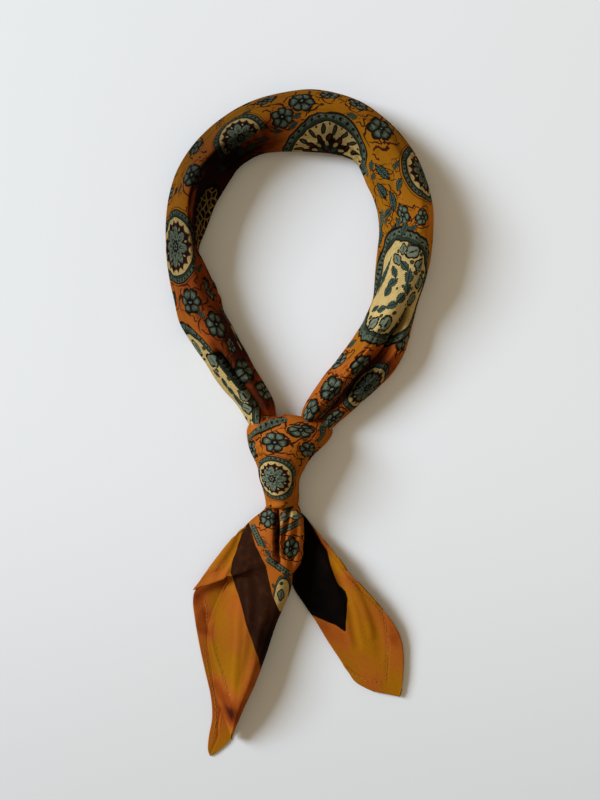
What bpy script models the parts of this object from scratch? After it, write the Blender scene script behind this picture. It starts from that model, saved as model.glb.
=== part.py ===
"""A square cotton bandana, folded on its diagonal, rolled into a band and knotted, lying flat.

Metres, +Z up. +Y runs from the tails to the far end of the neck loop, +X to the right as seen
from above. The origin is on the surface that the bandana lies on, under the middle of its box.
"""

import math
from collections import namedtuple

import bpy

# ---------------------------------------------------------------- driving dimensions (millimetres)

MM = 0.001
MIDDLE_Y = -11.5        # the middle of the whole length, in the frame that the tables use
SEAM = 0.3              # clear space between two pieces that touch
TABLE = 0.0             # height of the surface it lies on
WALL = 1.3              # one thickness of hemmed cloth with the layer turned under it
ALL_LAYERS = 14.0       # thickness that takes in the hidden layers, down to what a sheet lies on
UNDER_LAYER = 1.5       # top of the lowest layer of the left tail
WAIST = 0.26            # share of a roll's height at which it is widest
TUCK = 0.13             # share of a roll's width by which its foot is tucked in
LAYER_STEP = 0.9        # how far each folded layer stands out past the one above it
LAYER_ANGLES = (14, 32)  # where on a roll's flank the layers end, in degrees above its waist
FLANK_STEPS = (0, 13, 15, 31, 33, 48, 62, 76)
MOST_STEP = 0.05        # a layer step is at most this share of the roll's width
FOOT_IN = 0.3           # share of the tuck by which a roll's side comes in at FOOT_HIGH
FOOT_HIGH = 0.35        # share of the waist's height
HEM_WIDE = 4.6          # width of the rolled hem
HEM_THICK = 0.45        # how much the hem stands above the cloth beside it
FULL_HEM_FROM = 20.0    # width of a sheet from which its hem has its full thickness
MOST_HEM = 0.3          # a hem is at most this share of a sheet's width
HEM_EDGE = 0.5          # width over which the hem drops to the cloth beside it
MOST_HEM_EDGE = 0.1     # and at most this share of the sheet's width
LEAST_WALL = 0.6        # thinnest cloth left under a crease
CREASE_FADE = 0.6       # how soon a crease reaches its depth from its ends
NEAR_CUT = 0.2          # share of a row over which the run at a cut is measured
SWELL = 1.5             # how late a sheet rises from its edge to its crest
LATE_SWELL = 3.0        # the same, where the edge lies flat under another layer
SHEET_COLUMNS = (0.0, 0.16, 0.32, 0.48, 0.58, 0.68, 0.78, 0.88, 0.95, 1.0)  # across, between the hems

# ------------------------------------------------------------------------------ section tables (mm)

# A roll is lofted through rows. Each row is one section from edge a to edge b; crest is the share
# of the way from a to b at which it is highest, and full_a and full_b say how round each flank is
# (1 is a straight slope, 2 an ellipse).
Roll = namedtuple("Roll", "a_x a_y b_x b_y crest high full_a full_b")

# The neck loop, from the pinch on the left over the far end to the right; a is the outer edge.
LOOP_ROWS = (
    Roll(-62.2, 67.0, -45.6, 66.6, 0.80, 17.0, 2.0, 1.8),
    Roll(-62.5, 73.0, -47.0, 70.5, 0.80, 17.5, 2.0, 1.4),
    Roll(-62.5, 82.0, -44.0, 79.5, 0.62, 19.5, 1.9, 1.2),
    Roll(-61.0, 94.0, -40.5, 89.0, 0.50, 21.5, 1.8, 1.15),
    Roll(-58.0, 104.5, -36.5, 96.5, 0.46, 22.5, 1.8, 1.15),
    Roll(-53.0, 113.5, -32.5, 103.0, 0.48, 22.5, 1.8, 1.15),
    Roll(-46.0, 122.5, -28.5, 108.5, 0.52, 22.0, 1.8, 1.2),
    Roll(-38.0, 130.0, -23.0, 112.5, 0.56, 21.5, 1.9, 1.3),
    Roll(-28.0, 136.5, -17.5, 115.0, 0.56, 21.0, 1.9, 1.5),
    Roll(-16.5, 141.0, -11.0, 116.0, 0.50, 20.5, 2.0, 1.6),
    Roll(-3.5, 143.8, -3.5, 116.0, 0.45, 20.0, 2.0, 1.7),
    Roll(7.5, 144.5, 5.0, 115.5, 0.42, 20.0, 2.0, 1.7),
    Roll(19.0, 142.5, 13.5, 115.0, 0.42, 20.5, 2.0, 1.7),
    Roll(30.0, 138.0, 21.5, 113.5, 0.42, 21.0, 2.0, 1.7),
    Roll(39.0, 131.5, 26.5, 111.0, 0.42, 21.5, 2.0, 1.7),
    Roll(47.5, 123.0, 29.0, 106.5, 0.40, 22.0, 2.1, 1.7),
    Roll(54.5, 113.0, 31.5, 100.5, 0.36, 22.0, 2.2, 1.7),
    Roll(59.0, 102.0, 34.5, 94.5, 0.33, 22.0, 2.2, 1.7),
    Roll(62.0, 90.0, 36.5, 87.5, 0.32, 22.0, 2.2, 1.7),
    Roll(62.5, 79.0, 37.0, 79.0, 0.32, 21.5, 2.2, 1.7),
    Roll(61.5, 67.0, 36.0, 69.0, 0.34, 21.0, 2.2, 1.7),
    Roll(59.0, 56.5, 35.0, 58.0, 0.38, 20.0, 2.1, 1.8),
    Roll(55.2, 49.0, 34.0, 49.0, 0.42, 19.0, 2.0, 1.8),
)
LOOP_CUTS = (0, 8, 15, 22)      # rows where the loop is parted into its three stretches

# The four strands that run from the loop down into the knot; a is each strand's outer edge.
LEFT_INNER_ROWS = (
    Roll(-62.2, 67.0, -45.6, 66.6, 0.80, 17.0, 2.0, 1.8),
    Roll(-60.5, 54.0, -42.0, 59.0, 0.62, 17.0, 2.0, 2.0),
    Roll(-58.4, 45.0, -38.5, 50.5, 0.55, 17.0, 2.0, 2.0),
    Roll(-55.1, 36.5, -35.0, 42.5, 0.52, 17.0, 2.0, 2.0),
    Roll(-49.6, 31.8, -31.5, 36.0, 0.52, 17.0, 1.8, 2.0),
    Roll(-43.5, 26.2, -28.5, 29.0, 0.52, 17.0, 1.7, 2.0),
    Roll(-38.4, 20.7, -24.5, 22.0, 0.52, 16.5, 1.7, 2.0),
    Roll(-33.3, 15.3, -21.5, 16.0, 0.52, 16.0, 1.7, 2.0),
    Roll(-28.6, 10.4, -18.0, 10.0, 0.52, 15.5, 1.7, 2.0),
    Roll(-24.0, 4.9, -14.5, 4.0, 0.52, 15.0, 1.8, 2.0),
    Roll(-19.8, -0.3, -12.0, -1.5, 0.52, 14.0, 1.8, 2.0),
    Roll(-17.4, -6.4, -11.0, -6.8, 0.52, 13.0, 1.8, 2.0),
)
LEFT_OUTER_ROWS = (
    Roll(-56.3, 36.6, -55.5, 36.1, 0.50, 8.0, 2.0, 2.0),
    Roll(-52.5, 29.5, -50.0, 31.4, 0.52, 12.5, 2.0, 2.0),
    Roll(-48.5, 23.0, -43.9, 25.8, 0.52, 14.0, 2.0, 1.8),
    Roll(-44.0, 16.5, -38.8, 20.3, 0.50, 14.5, 2.0, 1.7),
    Roll(-40.0, 10.0, -33.7, 14.9, 0.50, 14.5, 2.0, 1.7),
    Roll(-35.5, 4.0, -29.0, 10.0, 0.50, 14.0, 2.0, 1.7),
    Roll(-31.0, -1.0, -24.4, 4.5, 0.50, 13.5, 2.0, 1.8),
    Roll(-27.8, -5.5, -20.2, -0.7, 0.50, 13.0, 2.0, 1.8),
    Roll(-25.2, -9.8, -18.2, -6.6, 0.50, 12.5, 2.0, 1.8),
)
RIGHT_FRONT_ROWS = (
    Roll(55.2, 49.0, 34.0, 49.0, 0.42, 19.0, 2.0, 1.8),
    Roll(50.0, 42.0, 32.0, 43.0, 0.42, 18.5, 2.4, 1.8),
    Roll(45.0, 35.5, 29.5, 36.5, 0.42, 18.0, 2.6, 1.8),
    Roll(40.5, 29.0, 25.5, 30.0, 0.44, 17.5, 2.6, 1.8),
    Roll(36.0, 22.0, 21.0, 23.0, 0.44, 17.0, 2.6, 1.8),
    Roll(31.0, 17.0, 16.5, 17.5, 0.44, 16.5, 2.6, 1.8),
    Roll(26.5, 12.0, 12.0, 12.5, 0.44, 16.0, 2.6, 1.8),
    Roll(21.0, 5.5, 7.5, 6.5, 0.44, 15.5, 2.6, 1.8),
    Roll(15.5, -1.0, 3.5, 0.5, 0.46, 15.0, 2.4, 1.9),
    Roll(11.8, -5.3, 1.0, -4.5, 0.48, 14.5, 2.2, 2.0),
    Roll(9.2, -8.0, 0.2, -7.7, 0.50, 13.5, 2.0, 2.0),
)
RIGHT_BACK_ROWS = (
    Roll(55.4, 46.6, 53.8, 46.2, 0.50, 9.0, 2.0, 2.0),
    Roll(54.3, 42.0, 50.4, 41.7, 0.50, 11.0, 2.0, 2.0),
    Roll(52.5, 34.5, 45.4, 35.2, 0.50, 12.5, 2.0, 1.8),
    Roll(51.0, 28.0, 40.9, 28.7, 0.48, 13.0, 2.0, 1.6),
    Roll(48.5, 21.0, 36.4, 21.7, 0.46, 13.0, 2.0, 1.5),
    Roll(44.0, 13.5, 31.4, 16.7, 0.46, 13.0, 2.0, 1.5),
    Roll(38.5, 7.5, 26.9, 11.7, 0.46, 12.5, 2.0, 1.5),
    Roll(31.5, 1.0, 21.4, 5.2, 0.46, 12.5, 2.0, 1.6),
    Roll(24.0, -5.5, 15.9, -1.3, 0.48, 12.0, 2.0, 1.8),
    Roll(18.6, -10.0, 12.2, -5.6, 0.50, 11.5, 2.0, 2.0),
    Roll(15.8, -12.3, 10.2, -8.7, 0.50, 11.5, 2.0, 2.0),
)

# The knot, from its wide upper end down to its neck; a is its left edge.
KNOT_ROWS = (
    Roll(-18.0, -7.2, 9.2, -8.4, 0.48, 11.0, 2.0, 2.0),
    Roll(-23.2, -10.6, 13.8, -11.4, 0.48, 16.5, 2.2, 2.0),
    Roll(-24.8, -14.0, 15.4, -14.6, 0.48, 19.0, 2.2, 2.0),
    Roll(-24.5, -18.0, 13.4, -18.9, 0.48, 20.5, 2.2, 2.0),
    Roll(-23.4, -23.0, 10.0, -22.5, 0.48, 21.5, 2.2, 2.0),
    Roll(-21.5, -27.5, 5.5, -27.0, 0.50, 21.5, 2.1, 2.0),
    Roll(-20.0, -31.5, 2.5, -31.5, 0.52, 21.0, 2.0, 2.0),
    Roll(-19.0, -36.5, 0.0, -36.5, 0.54, 20.0, 2.0, 2.0),
    Roll(-17.5, -41.0, -0.5, -41.0, 0.54, 19.0, 2.0, 2.0),
    Roll(-16.5, -45.5, -0.5, -45.5, 0.54, 18.0, 2.0, 2.0),
    Roll(-16.0, -49.0, -0.8, -48.2, 0.54, 16.5, 2.0, 2.0),
    Roll(-15.2, -50.6, -2.4, -49.8, 0.54, 13.5, 2.0, 2.0),
)

# A sheet is lofted through rows from its left edge to its right edge. left_high, crest_high and
# right_high are the heights of its upper face, and wall is its thickness, layers included.
Sheet = namedtuple(
    "Sheet", "left_x left_y right_x right_y left_high crest crest_high right_high wall"
)

# The front layer of the left tail. Its left edge turns in along the hemmed flap below the knot and
# then runs down to the tip. Its right edge is a loose fold that stands well off the table, so the
# layers hidden under it share this one solid.
LEFT_FRONT_ROWS = (
    Sheet(-17.0, -51.0, 0.0, -50.2, 7.0, 0.60, 12.0, 8.5, ALL_LAYERS),
    Sheet(-23.0, -56.0, 1.5, -54.0, 5.0, 0.64, 12.5, 9.0, ALL_LAYERS),
    Sheet(-29.5, -62.5, 2.0, -56.5, 4.4, 0.68, 12.8, 9.5, ALL_LAYERS),
    Sheet(-36.5, -71.0, 2.0, -59.5, 4.2, 0.73, 13.0, 9.5, ALL_LAYERS),
    Sheet(-43.0, -79.0, 2.0, -63.0, 4.2, 0.77, 13.0, 9.0, ALL_LAYERS),
    Sheet(-47.5, -85.0, 2.0, -65.5, 4.4, 0.79, 13.0, 8.5, ALL_LAYERS),
    Sheet(-50.4, -89.3, 1.5, -68.0, 4.4, 0.80, 13.0, 8.5, ALL_LAYERS),
    Sheet(-44.0, -85.5, 1.5, -73.0, 4.6, 0.80, 13.0, 8.0, ALL_LAYERS),
    Sheet(-38.5, -84.0, 0.0, -77.0, 4.8, 0.80, 13.2, 7.5, ALL_LAYERS),
    Sheet(-34.0, -83.0, -3.0, -81.0, 4.6, 0.81, 13.4, 7.2, ALL_LAYERS),
    Sheet(-36.5, -89.0, -3.5, -85.5, 4.2, 0.82, 13.6, 7.0, ALL_LAYERS),
    Sheet(-40.0, -96.5, -4.5, -90.0, 3.6, 0.82, 13.8, 7.0, ALL_LAYERS),
    Sheet(-43.0, -106.0, -7.5, -97.0, 3.3, 0.82, 14.0, 7.0, ALL_LAYERS),
    Sheet(-43.5, -113.5, -10.5, -104.0, 3.2, 0.82, 14.0, 7.0, ALL_LAYERS),
    Sheet(-42.5, -120.0, -13.5, -112.5, 3.2, 0.81, 14.0, 7.0, ALL_LAYERS),
    Sheet(-41.5, -126.0, -16.0, -120.0, 3.2, 0.80, 14.0, 7.0, ALL_LAYERS),
    Sheet(-40.0, -137.0, -20.5, -132.0, 3.2, 0.78, 13.8, 6.8, ALL_LAYERS),
    Sheet(-36.5, -146.0, -25.5, -142.5, 3.3, 0.74, 12.5, 6.4, ALL_LAYERS),
    Sheet(-34.0, -153.0, -28.5, -150.0, 3.4, 0.66, 10.0, 5.8, ALL_LAYERS),
    Sheet(-32.6, -158.4, -31.4, -157.8, 3.4, 0.50, 6.0, 4.8, ALL_LAYERS),
)
# The layer under it, which shows along the left side and at the tip and lies on the table.
LEFT_UNDER_ROWS = (
    Sheet(-19.5, -53.5, -9.5, -53.0, 1.05, 0.50, 1.1, 1.1, WALL),
    Sheet(-27.5, -62.5, -8.5, -61.5, 1.05, 0.50, 1.1, 1.1, WALL),
    Sheet(-40.0, -78.0, -7.8, -74.0, 1.05, 0.50, 1.1, 1.1, WALL),
    Sheet(-48.5, -88.0, -6.8, -84.5, 1.05, 0.50, 1.1, 1.1, WALL),
    Sheet(-50.5, -94.0, -8.5, -92.0, 1.05, 0.50, 1.1, 1.1, WALL),
    Sheet(-49.5, -103.5, -12.0, -101.0, 1.05, 0.50, 1.1, 1.1, WALL),
    Sheet(-47.5, -115.0, -16.5, -113.0, 1.05, 0.50, 1.1, 1.1, WALL),
    Sheet(-44.8, -127.5, -21.0, -125.5, 1.05, 0.50, 1.1, 1.1, WALL),
    Sheet(-42.2, -139.0, -25.0, -136.5, 1.05, 0.50, 1.1, 1.1, WALL),
    Sheet(-41.5, -149.0, -28.0, -146.0, 1.05, 0.50, 1.1, 1.1, WALL),
    Sheet(-43.0, -158.0, -31.0, -155.0, 1.05, 0.50, 1.1, 1.1, WALL),
    Sheet(-43.5, -164.0, -33.5, -160.5, 1.05, 0.50, 1.1, 1.1, WALL),
    Sheet(-42.6, -167.5, -39.5, -165.8, 1.05, 0.50, 1.1, 1.1, WALL),
)
# The right tail, one hemmed sheet whose right edge lifts off the table.
RIGHT_TAIL_ROWS = (
    Sheet(-4.0, -52.5, 1.2, -53.2, 1.3, 0.70, 1.3, 1.3, 2.0),
    Sheet(-2.0, -57.0, 4.4, -57.0, 1.3, 0.70, 1.3, 2.6, 2.4),
    Sheet(-1.6, -62.0, 8.5, -62.0, 1.3, 0.75, 1.8, 5.0, 3.6),
    Sheet(-1.5, -71.5, 16.5, -71.5, 1.3, 0.72, 4.2, 7.2, 3.4),
    Sheet(-5.0, -80.0, 22.7, -80.0, 1.3, 0.74, 6.0, 7.5, 2.8),
    Sheet(-3.2, -88.0, 30.0, -88.0, 1.3, 0.72, 5.4, 6.6, 2.2),
    Sheet(2.0, -96.0, 37.0, -96.0, 1.6, 0.68, 4.9, 6.1, 1.8),
    Sheet(7.5, -104.0, 43.5, -104.0, 1.8, 0.64, 3.8, 4.7, 1.5),
    Sheet(12.5, -112.5, 47.5, -112.5, 1.8, 0.60, 2.8, 3.3, WALL),
    Sheet(18.0, -121.0, 48.6, -120.5, 1.7, 0.56, 2.4, 2.7, WALL),
    Sheet(22.5, -128.0, 48.5, -129.0, 1.6, 0.54, 2.2, 2.7, WALL),
    Sheet(26.5, -133.0, 48.0, -135.0, 1.5, 0.52, 1.9, 2.5, WALL),
    Sheet(35.0, -137.0, 46.8, -139.4, 1.5, 0.50, 1.6, 2.1, WALL),
)

# Creases are soft troughs in the upper face, straight as seen from above and fading at both ends.
# A negative depth is a ridge.
Crease = namedtuple("Crease", "from_x from_y to_x to_y depth half_wide")
LOOP_CREASES = (
    Crease(-45.0, 78.0, -35.5, 99.0, 1.0, 2.0),
    Crease(-43.0, 99.0, -22.0, 116.5, 1.2, 2.2),
    Crease(-28.0, 125.0, 6.0, 131.0, 1.0, 3.0),
    Crease(12.0, 121.0, 33.0, 105.0, 1.4, 2.4),
    Crease(52.0, 100.0, 44.0, 58.0, 1.0, 3.2),
    Crease(57.0, 80.0, 51.0, 50.0, 1.2, 2.4),
)
STRAND_CREASES = (
    Crease(-54.0, 62.0, -44.0, 38.0, 0.9, 2.4),
    Crease(-34.0, 32.0, -20.0, 6.0, 0.9, 2.0),
    Crease(42.0, 45.0, 22.0, 14.0, 1.0, 2.4),
    Crease(44.0, 26.0, 24.0, 0.0, 1.4, 2.2),
)
KNOT_CREASES = (
    Crease(-23.5, -16.5, -10.0, -9.5, 1.0, 1.6),
    Crease(-22.5, -28.0, -4.0, -30.0, 1.1, 1.5),
    Crease(10.5, -17.0, 0.5, -33.0, 1.3, 1.6),
    Crease(-18.0, -44.0, -2.0, -46.5, 0.7, 1.4),
)
FRONT_CREASES = (
    Crease(-10.8, -49.0, -11.2, -72.5, 5.0, 3.6),
    Crease(-30.0, -62.0, -33.0, -84.0, 0.8, 2.0),
    Crease(-30.0, -88.0, -26.0, -128.0, 0.7, 3.0),
    Crease(-9.0, -74.0, -14.0, -108.0, 0.8, 2.4),
)
RIGHT_TAIL_CREASES = (
    Crease(6.0, -66.0, 25.0, -104.0, 0.8, 3.0),
    Crease(20.0, -74.0, 40.0, -108.0, 1.0, 2.0),
)

# -------------------------------------------------------------------------------- colours (linear)

MUSTARD = (0.33, 0.13, 0.012, 1.0)
RUST = (0.30, 0.095, 0.02, 1.0)
COTTON_ROUGH = 0.85


def clear_scene():
    for obj in list(bpy.data.objects):
        bpy.data.objects.remove(obj, do_unlink=True)


def cotton(name, colour):
    """A plain matt cotton finish."""
    material = bpy.data.materials.new(name)
    material.use_nodes = True
    shader = material.node_tree.nodes["Principled BSDF"]
    shader.inputs["Base Color"].default_value = colour
    shader.inputs["Roughness"].default_value = COTTON_ROUGH
    shader.inputs["Metallic"].default_value = 0.0
    return material


# ------------------------------------------------------------------------------------- the lofting


def through(rows, at):
    """The row at a place along the table, 0 being the first, on a smooth curve through them all."""
    first = min(int(at), len(rows) - 2)
    share = at - first
    before = rows[max(first - 1, 0)]
    after = rows[min(first + 2, len(rows) - 1)]
    values = []
    for p, q, r, s in zip(before, rows[first], rows[first + 1], after):
        slope_in = (r - p) / 2
        slope_out = (s - q) / 2
        square = share * share
        cube = square * share
        values.append(
            (2 * cube - 3 * square + 1) * q
            + (cube - 2 * square + share) * slope_in
            + (3 * square - 2 * cube) * r
            + (cube - square) * slope_out
        )
    return type(rows[0])(*values)


def stations(start, end, per_row):
    """Evenly spaced places along a table, from one row to another."""
    count = round((end - start) * per_row)
    return [start + (end - start) * i / count for i in range(count + 1)]


def crease_drop(x, y, creases):
    """How far the creases lower the upper face at a place seen from above."""
    drop = 0.0
    for crease in creases:
        run_x = crease.to_x - crease.from_x
        run_y = crease.to_y - crease.from_y
        run = math.hypot(run_x, run_y)
        along = ((x - crease.from_x) * run_x + (y - crease.from_y) * run_y) / run / run
        aside = abs((x - crease.from_x) * run_y - (y - crease.from_y) * run_x) / run
        if 0 < along < 1 and aside < crease.half_wide:
            fade = math.sin(math.pi * along) ** CREASE_FADE
            drop += crease.depth * fade * (1 - (aside / crease.half_wide) ** 2) ** 2
    return drop


def flank(full, degrees):
    """(share of the flank's width, share of its rise) on a superellipse, with the layers stepped."""
    angle = math.radians(degrees)
    across = 1 - math.cos(angle) ** (2 / full)
    rise = math.sin(angle) ** (2 / full)
    layers_above = sum(degrees > step for step in LAYER_ANGLES)
    return across, rise, layers_above


def roll_ring(row, creases):
    """The closed outline of a roll's section, as (x, y, z) points in millimetres."""
    wide = math.hypot(row.b_x - row.a_x, row.b_y - row.a_y)
    waist = WAIST * row.high
    step = min(LAYER_STEP / wide, MOST_STEP)
    outline = []
    for degrees in FLANK_STEPS:
        across, rise, layers = flank(row.full_a, degrees)
        outline.append((row.crest * across + step * layers * (1 - across), rise))
    outline.append((row.crest, 1.0))
    for degrees in reversed(FLANK_STEPS):
        across, rise, layers = flank(row.full_b, degrees)
        outline.append((1 - (1 - row.crest) * across - step * layers * (1 - across), rise))
    upper = [(share, waist + (row.high - waist) * rise) for share, rise in outline]
    lower = (
        (1 - FOOT_IN * TUCK, FOOT_HIGH * waist),
        (1 - TUCK, TABLE),
        (TUCK, TABLE),
        (FOOT_IN * TUCK, FOOT_HIGH * waist),
    )
    ring = []
    for share, z in upper:
        x = row.a_x + (row.b_x - row.a_x) * share
        y = row.a_y + (row.b_y - row.a_y) * share
        over_waist = max(z - waist, 0) / (row.high - waist)
        ring.append((x, y, z - crease_drop(x, y, creases) * over_waist))
    for share, z in lower:
        ring.append(
            (row.a_x + (row.b_x - row.a_x) * share, row.a_y + (row.b_y - row.a_y) * share, z)
        )
    return ring


def sheet_ring(row, creases, under, side, swell):
    """The closed outline of a sheet's section: its upper face, then its underside."""
    wide = math.hypot(row.right_x - row.left_x, row.right_y - row.left_y)
    hem_thick = HEM_THICK * min(wide / FULL_HEM_FROM, 1)
    hem = min(HEM_WIDE / wide, MOST_HEM)
    edge = min(HEM_EDGE / wide, MOST_HEM_EDGE)
    shares = [0.0, hem - edge]
    shares += [hem + (1 - 2 * hem) * between for between in SHEET_COLUMNS]
    shares += [1 - hem + edge, 1.0]
    upper = []
    lower = []
    for share in shares:
        x = row.left_x + (row.right_x - row.left_x) * share
        y = row.left_y + (row.right_y - row.left_y) * share
        if share < row.crest:
            rise = math.sin(math.pi / 2 * share / row.crest) ** swell
            z = row.left_high + (row.crest_high - row.left_high) * rise
        else:
            rise = math.sin(math.pi / 2 * (1 - share) / (1 - row.crest)) ** SWELL
            z = row.right_high + (row.crest_high - row.right_high) * rise
        in_hem = (side == "left" and share < hem) or (side == "right" and share > 1 - hem)
        inside = 0.0 < share < 1.0
        bottom = max(under, z - row.wall)
        top = z + (hem_thick if in_hem else 0.0) - (crease_drop(x, y, creases) if inside else 0.0)
        upper.append((x, y, max(top, bottom + LEAST_WALL)))
        lower.append((x, y, bottom))
    return upper + lower[::-1]


def loft(name, rings, material, collection):
    """One closed solid through a list of rings of equal length, capped at both ends."""
    around = len(rings[0])
    points = [(x * MM, (y - MIDDLE_Y) * MM, z * MM) for ring in rings for x, y, z in ring]
    faces = []
    for i in range(len(rings) - 1):
        for j in range(around):
            k = (j + 1) % around
            faces.append((i * around + j, i * around + k, (i + 1) * around + k, (i + 1) * around + j))
    mesh = bpy.data.meshes.new(name)
    obj = bpy.data.objects.new(name, mesh)
    collection.objects.link(obj)
    last = (len(rings) - 1) * around
    faces.append(tuple(range(around))[::-1])
    faces.append(tuple(last + j for j in range(around)))
    mesh.from_pydata(points, [], faces)
    face_outwards(mesh)
    mesh.materials.append(material)
    mesh.shade_smooth()
    mesh.set_sharp_from_angle(angle=math.radians(40))
    return obj


def face_outwards(mesh):
    """Turns every face round if the solid came out inside out."""
    mesh.calc_loop_triangles()
    points = mesh.vertices
    volume = 0.0
    for triangle in mesh.loop_triangles:
        a, b, c = (points[i].co for i in triangle.vertices)
        volume += a.dot(b.cross(c))
    if volume < 0:
        mesh.flip_normals()
    mesh.update()


def parted(rows, start, end):
    """The places of two rows moved apart by half a seam, so that neighbours keep clear."""
    spans = []
    for at, way in ((start, 1), (end, -1)):
        here = through(rows, at)
        there = through(rows, at + way * NEAR_CUT)
        run = math.hypot(
            (here[0] + here[2] - there[0] - there[2]) / 2,
            (here[1] + here[3] - there[1] - there[3]) / 2,
        )
        spans.append(at + way * NEAR_CUT * SEAM / 2 / run)
    return spans


def roll(name, rows, creases, material, collection, start=0, end=None, per_row=2):
    end = len(rows) - 1 if end is None else end
    places = stations(*parted(rows, start, end), per_row)
    rings = [roll_ring(through(rows, at), creases) for at in places]
    return loft(name, rings, material, collection)


def sheet(name, rows, creases, under, hem, swell, material, collection):
    places = stations(0, len(rows) - 1, 2)
    rings = [sheet_ring(through(rows, at), creases, under, hem, swell) for at in places]
    return loft(name, rings, material, collection)


# -------------------------------------------------------------------------------------- the pieces


def neck_loop(material, collection):
    names = ("loop_left", "loop_far_end", "loop_right")
    for name, start, end in zip(names, LOOP_CUTS, LOOP_CUTS[1:]):
        roll(name, LOOP_ROWS, LOOP_CREASES, material, collection, start, end)


def strands(material, collection):
    tables = {
        "left_strand_inner": LEFT_INNER_ROWS,
        "left_strand_outer": LEFT_OUTER_ROWS,
        "right_strand_front": RIGHT_FRONT_ROWS,
        "right_strand_back": RIGHT_BACK_ROWS,
    }
    for name, rows in tables.items():
        roll(name, rows, STRAND_CREASES, material, collection)


def knot(material, collection):
    roll("knot", KNOT_ROWS, KNOT_CREASES, material, collection)


def tails(material, collection):
    above = UNDER_LAYER + SEAM
    pieces = (
        ("left_tail_front", LEFT_FRONT_ROWS, FRONT_CREASES, above, "left", SWELL),
        ("left_tail_under", LEFT_UNDER_ROWS, (), TABLE, "left", SWELL),
        ("right_tail", RIGHT_TAIL_ROWS, RIGHT_TAIL_CREASES, TABLE, "right", LATE_SWELL),
    )
    for name, rows, creases, under, hem, swell in pieces:
        sheet(name, rows, creases, under, hem, swell, material, collection)


def main():
    clear_scene()
    bandana = bpy.data.collections.new("bandana")
    bpy.context.scene.collection.children.link(bandana)
    printed = cotton("printed_cotton", RUST)
    border = cotton("border_cotton", MUSTARD)
    neck_loop(printed, bandana)
    strands(printed, bandana)
    knot(printed, bandana)
    tails(border, bandana)


main()
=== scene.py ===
"""The looks of a printed cotton bandana, rolled, knotted and lying flat, seen from straight above.

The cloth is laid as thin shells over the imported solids. Lengths are in millimetres until a mesh is
made; the tables' Y is measured from the middle of the picture, which lies MIDDLE_Y further up the
bandana's own frame. The print is drawn by shader nodes: each motif is stamped on the faces it
covers, as a place in the motif's own frame, and the node groups draw it there.
"""

import math
from collections import namedtuple

import bpy
import numpy as np
from mathutils import Matrix, Vector


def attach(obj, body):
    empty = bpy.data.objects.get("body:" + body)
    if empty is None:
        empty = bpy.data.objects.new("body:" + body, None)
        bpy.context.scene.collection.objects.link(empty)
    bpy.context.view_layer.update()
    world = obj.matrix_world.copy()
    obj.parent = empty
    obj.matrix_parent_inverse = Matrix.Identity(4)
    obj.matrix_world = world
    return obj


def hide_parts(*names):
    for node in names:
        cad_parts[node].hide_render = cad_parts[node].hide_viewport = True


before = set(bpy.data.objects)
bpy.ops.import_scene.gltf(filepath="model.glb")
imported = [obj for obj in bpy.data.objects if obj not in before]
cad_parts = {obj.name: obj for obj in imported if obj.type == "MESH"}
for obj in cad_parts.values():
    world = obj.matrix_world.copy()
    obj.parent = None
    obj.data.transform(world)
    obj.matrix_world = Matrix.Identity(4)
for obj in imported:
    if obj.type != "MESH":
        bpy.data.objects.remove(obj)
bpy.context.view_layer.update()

# ------------------------------------------------------------------------- sizes (mm) and the picture

MM = 0.001
MIDDLE_Y = 11.5           # from the tables' Y to the frame's
PICTURE_WIDE = 600        # pixels
PICTURE_HIGH = 800
MM_PER_PIXEL = 0.471      # at the height of the table
EYE_HIGH = 620.0          # the camera above the table
STEP = 0.95               # side of one face of the cloth
CLOTH_THICK = 0.5         # thickness of the shells
TABLE_GAP = 0.15
WAIST = 0.26              # share of a roll's height at which it is widest
TUCK = 0.13               # share of a roll's width by which its foot is tucked in
LAYER_STEP = 0.9          # how far each folded layer stands out past the one above it
LAYER_ANGLES = (14, 32)   # where on a roll's flank the layers end, in degrees above its waist
UNDER_COUNT = 9           # faces on each half of a roll's underside
SHEET_COLUMNS = 60        # faces across a sheet, without its turned edges
HEM_THICK = 1.4           # a hem is three layers of cloth
HEM_BULGE = 0.3           # how far a turned edge stands out
FOLD_BULGE = 0.6          # the same where the edge is a tall fold
TAIL_BOTTOM = 1.9         # how low the left tail's fold reaches, just above the layer under it
TAIL_HIGH = 3.0           # a usual height of the tails, for laying picture points on them
FAR = 9.0                 # a place outside every motif
ROLL_REACH = 9.0          # how many pixels from the cloth a large motif's middle may lie
TAIL_REACH = 5.0
SMALL_REACH = 3.0         # and a small one's
HIDDEN = 0.25             # a face whose normal rises less than this hardly shows from above
SCATTER_TRIES = 2000      # places tried for the motifs there
SCATTER_SIZES = (3.4, 5.2)
STITCH_LONG = 1.5
STITCH_WIDE = 0.34
STITCH_HIGH = 0.26
STITCH_LIFT = 0.10        # of its middle above the cloth
STITCH_EVERY = 2.3

# -------------------------------------------------------------------------------- the cloth's form

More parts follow.
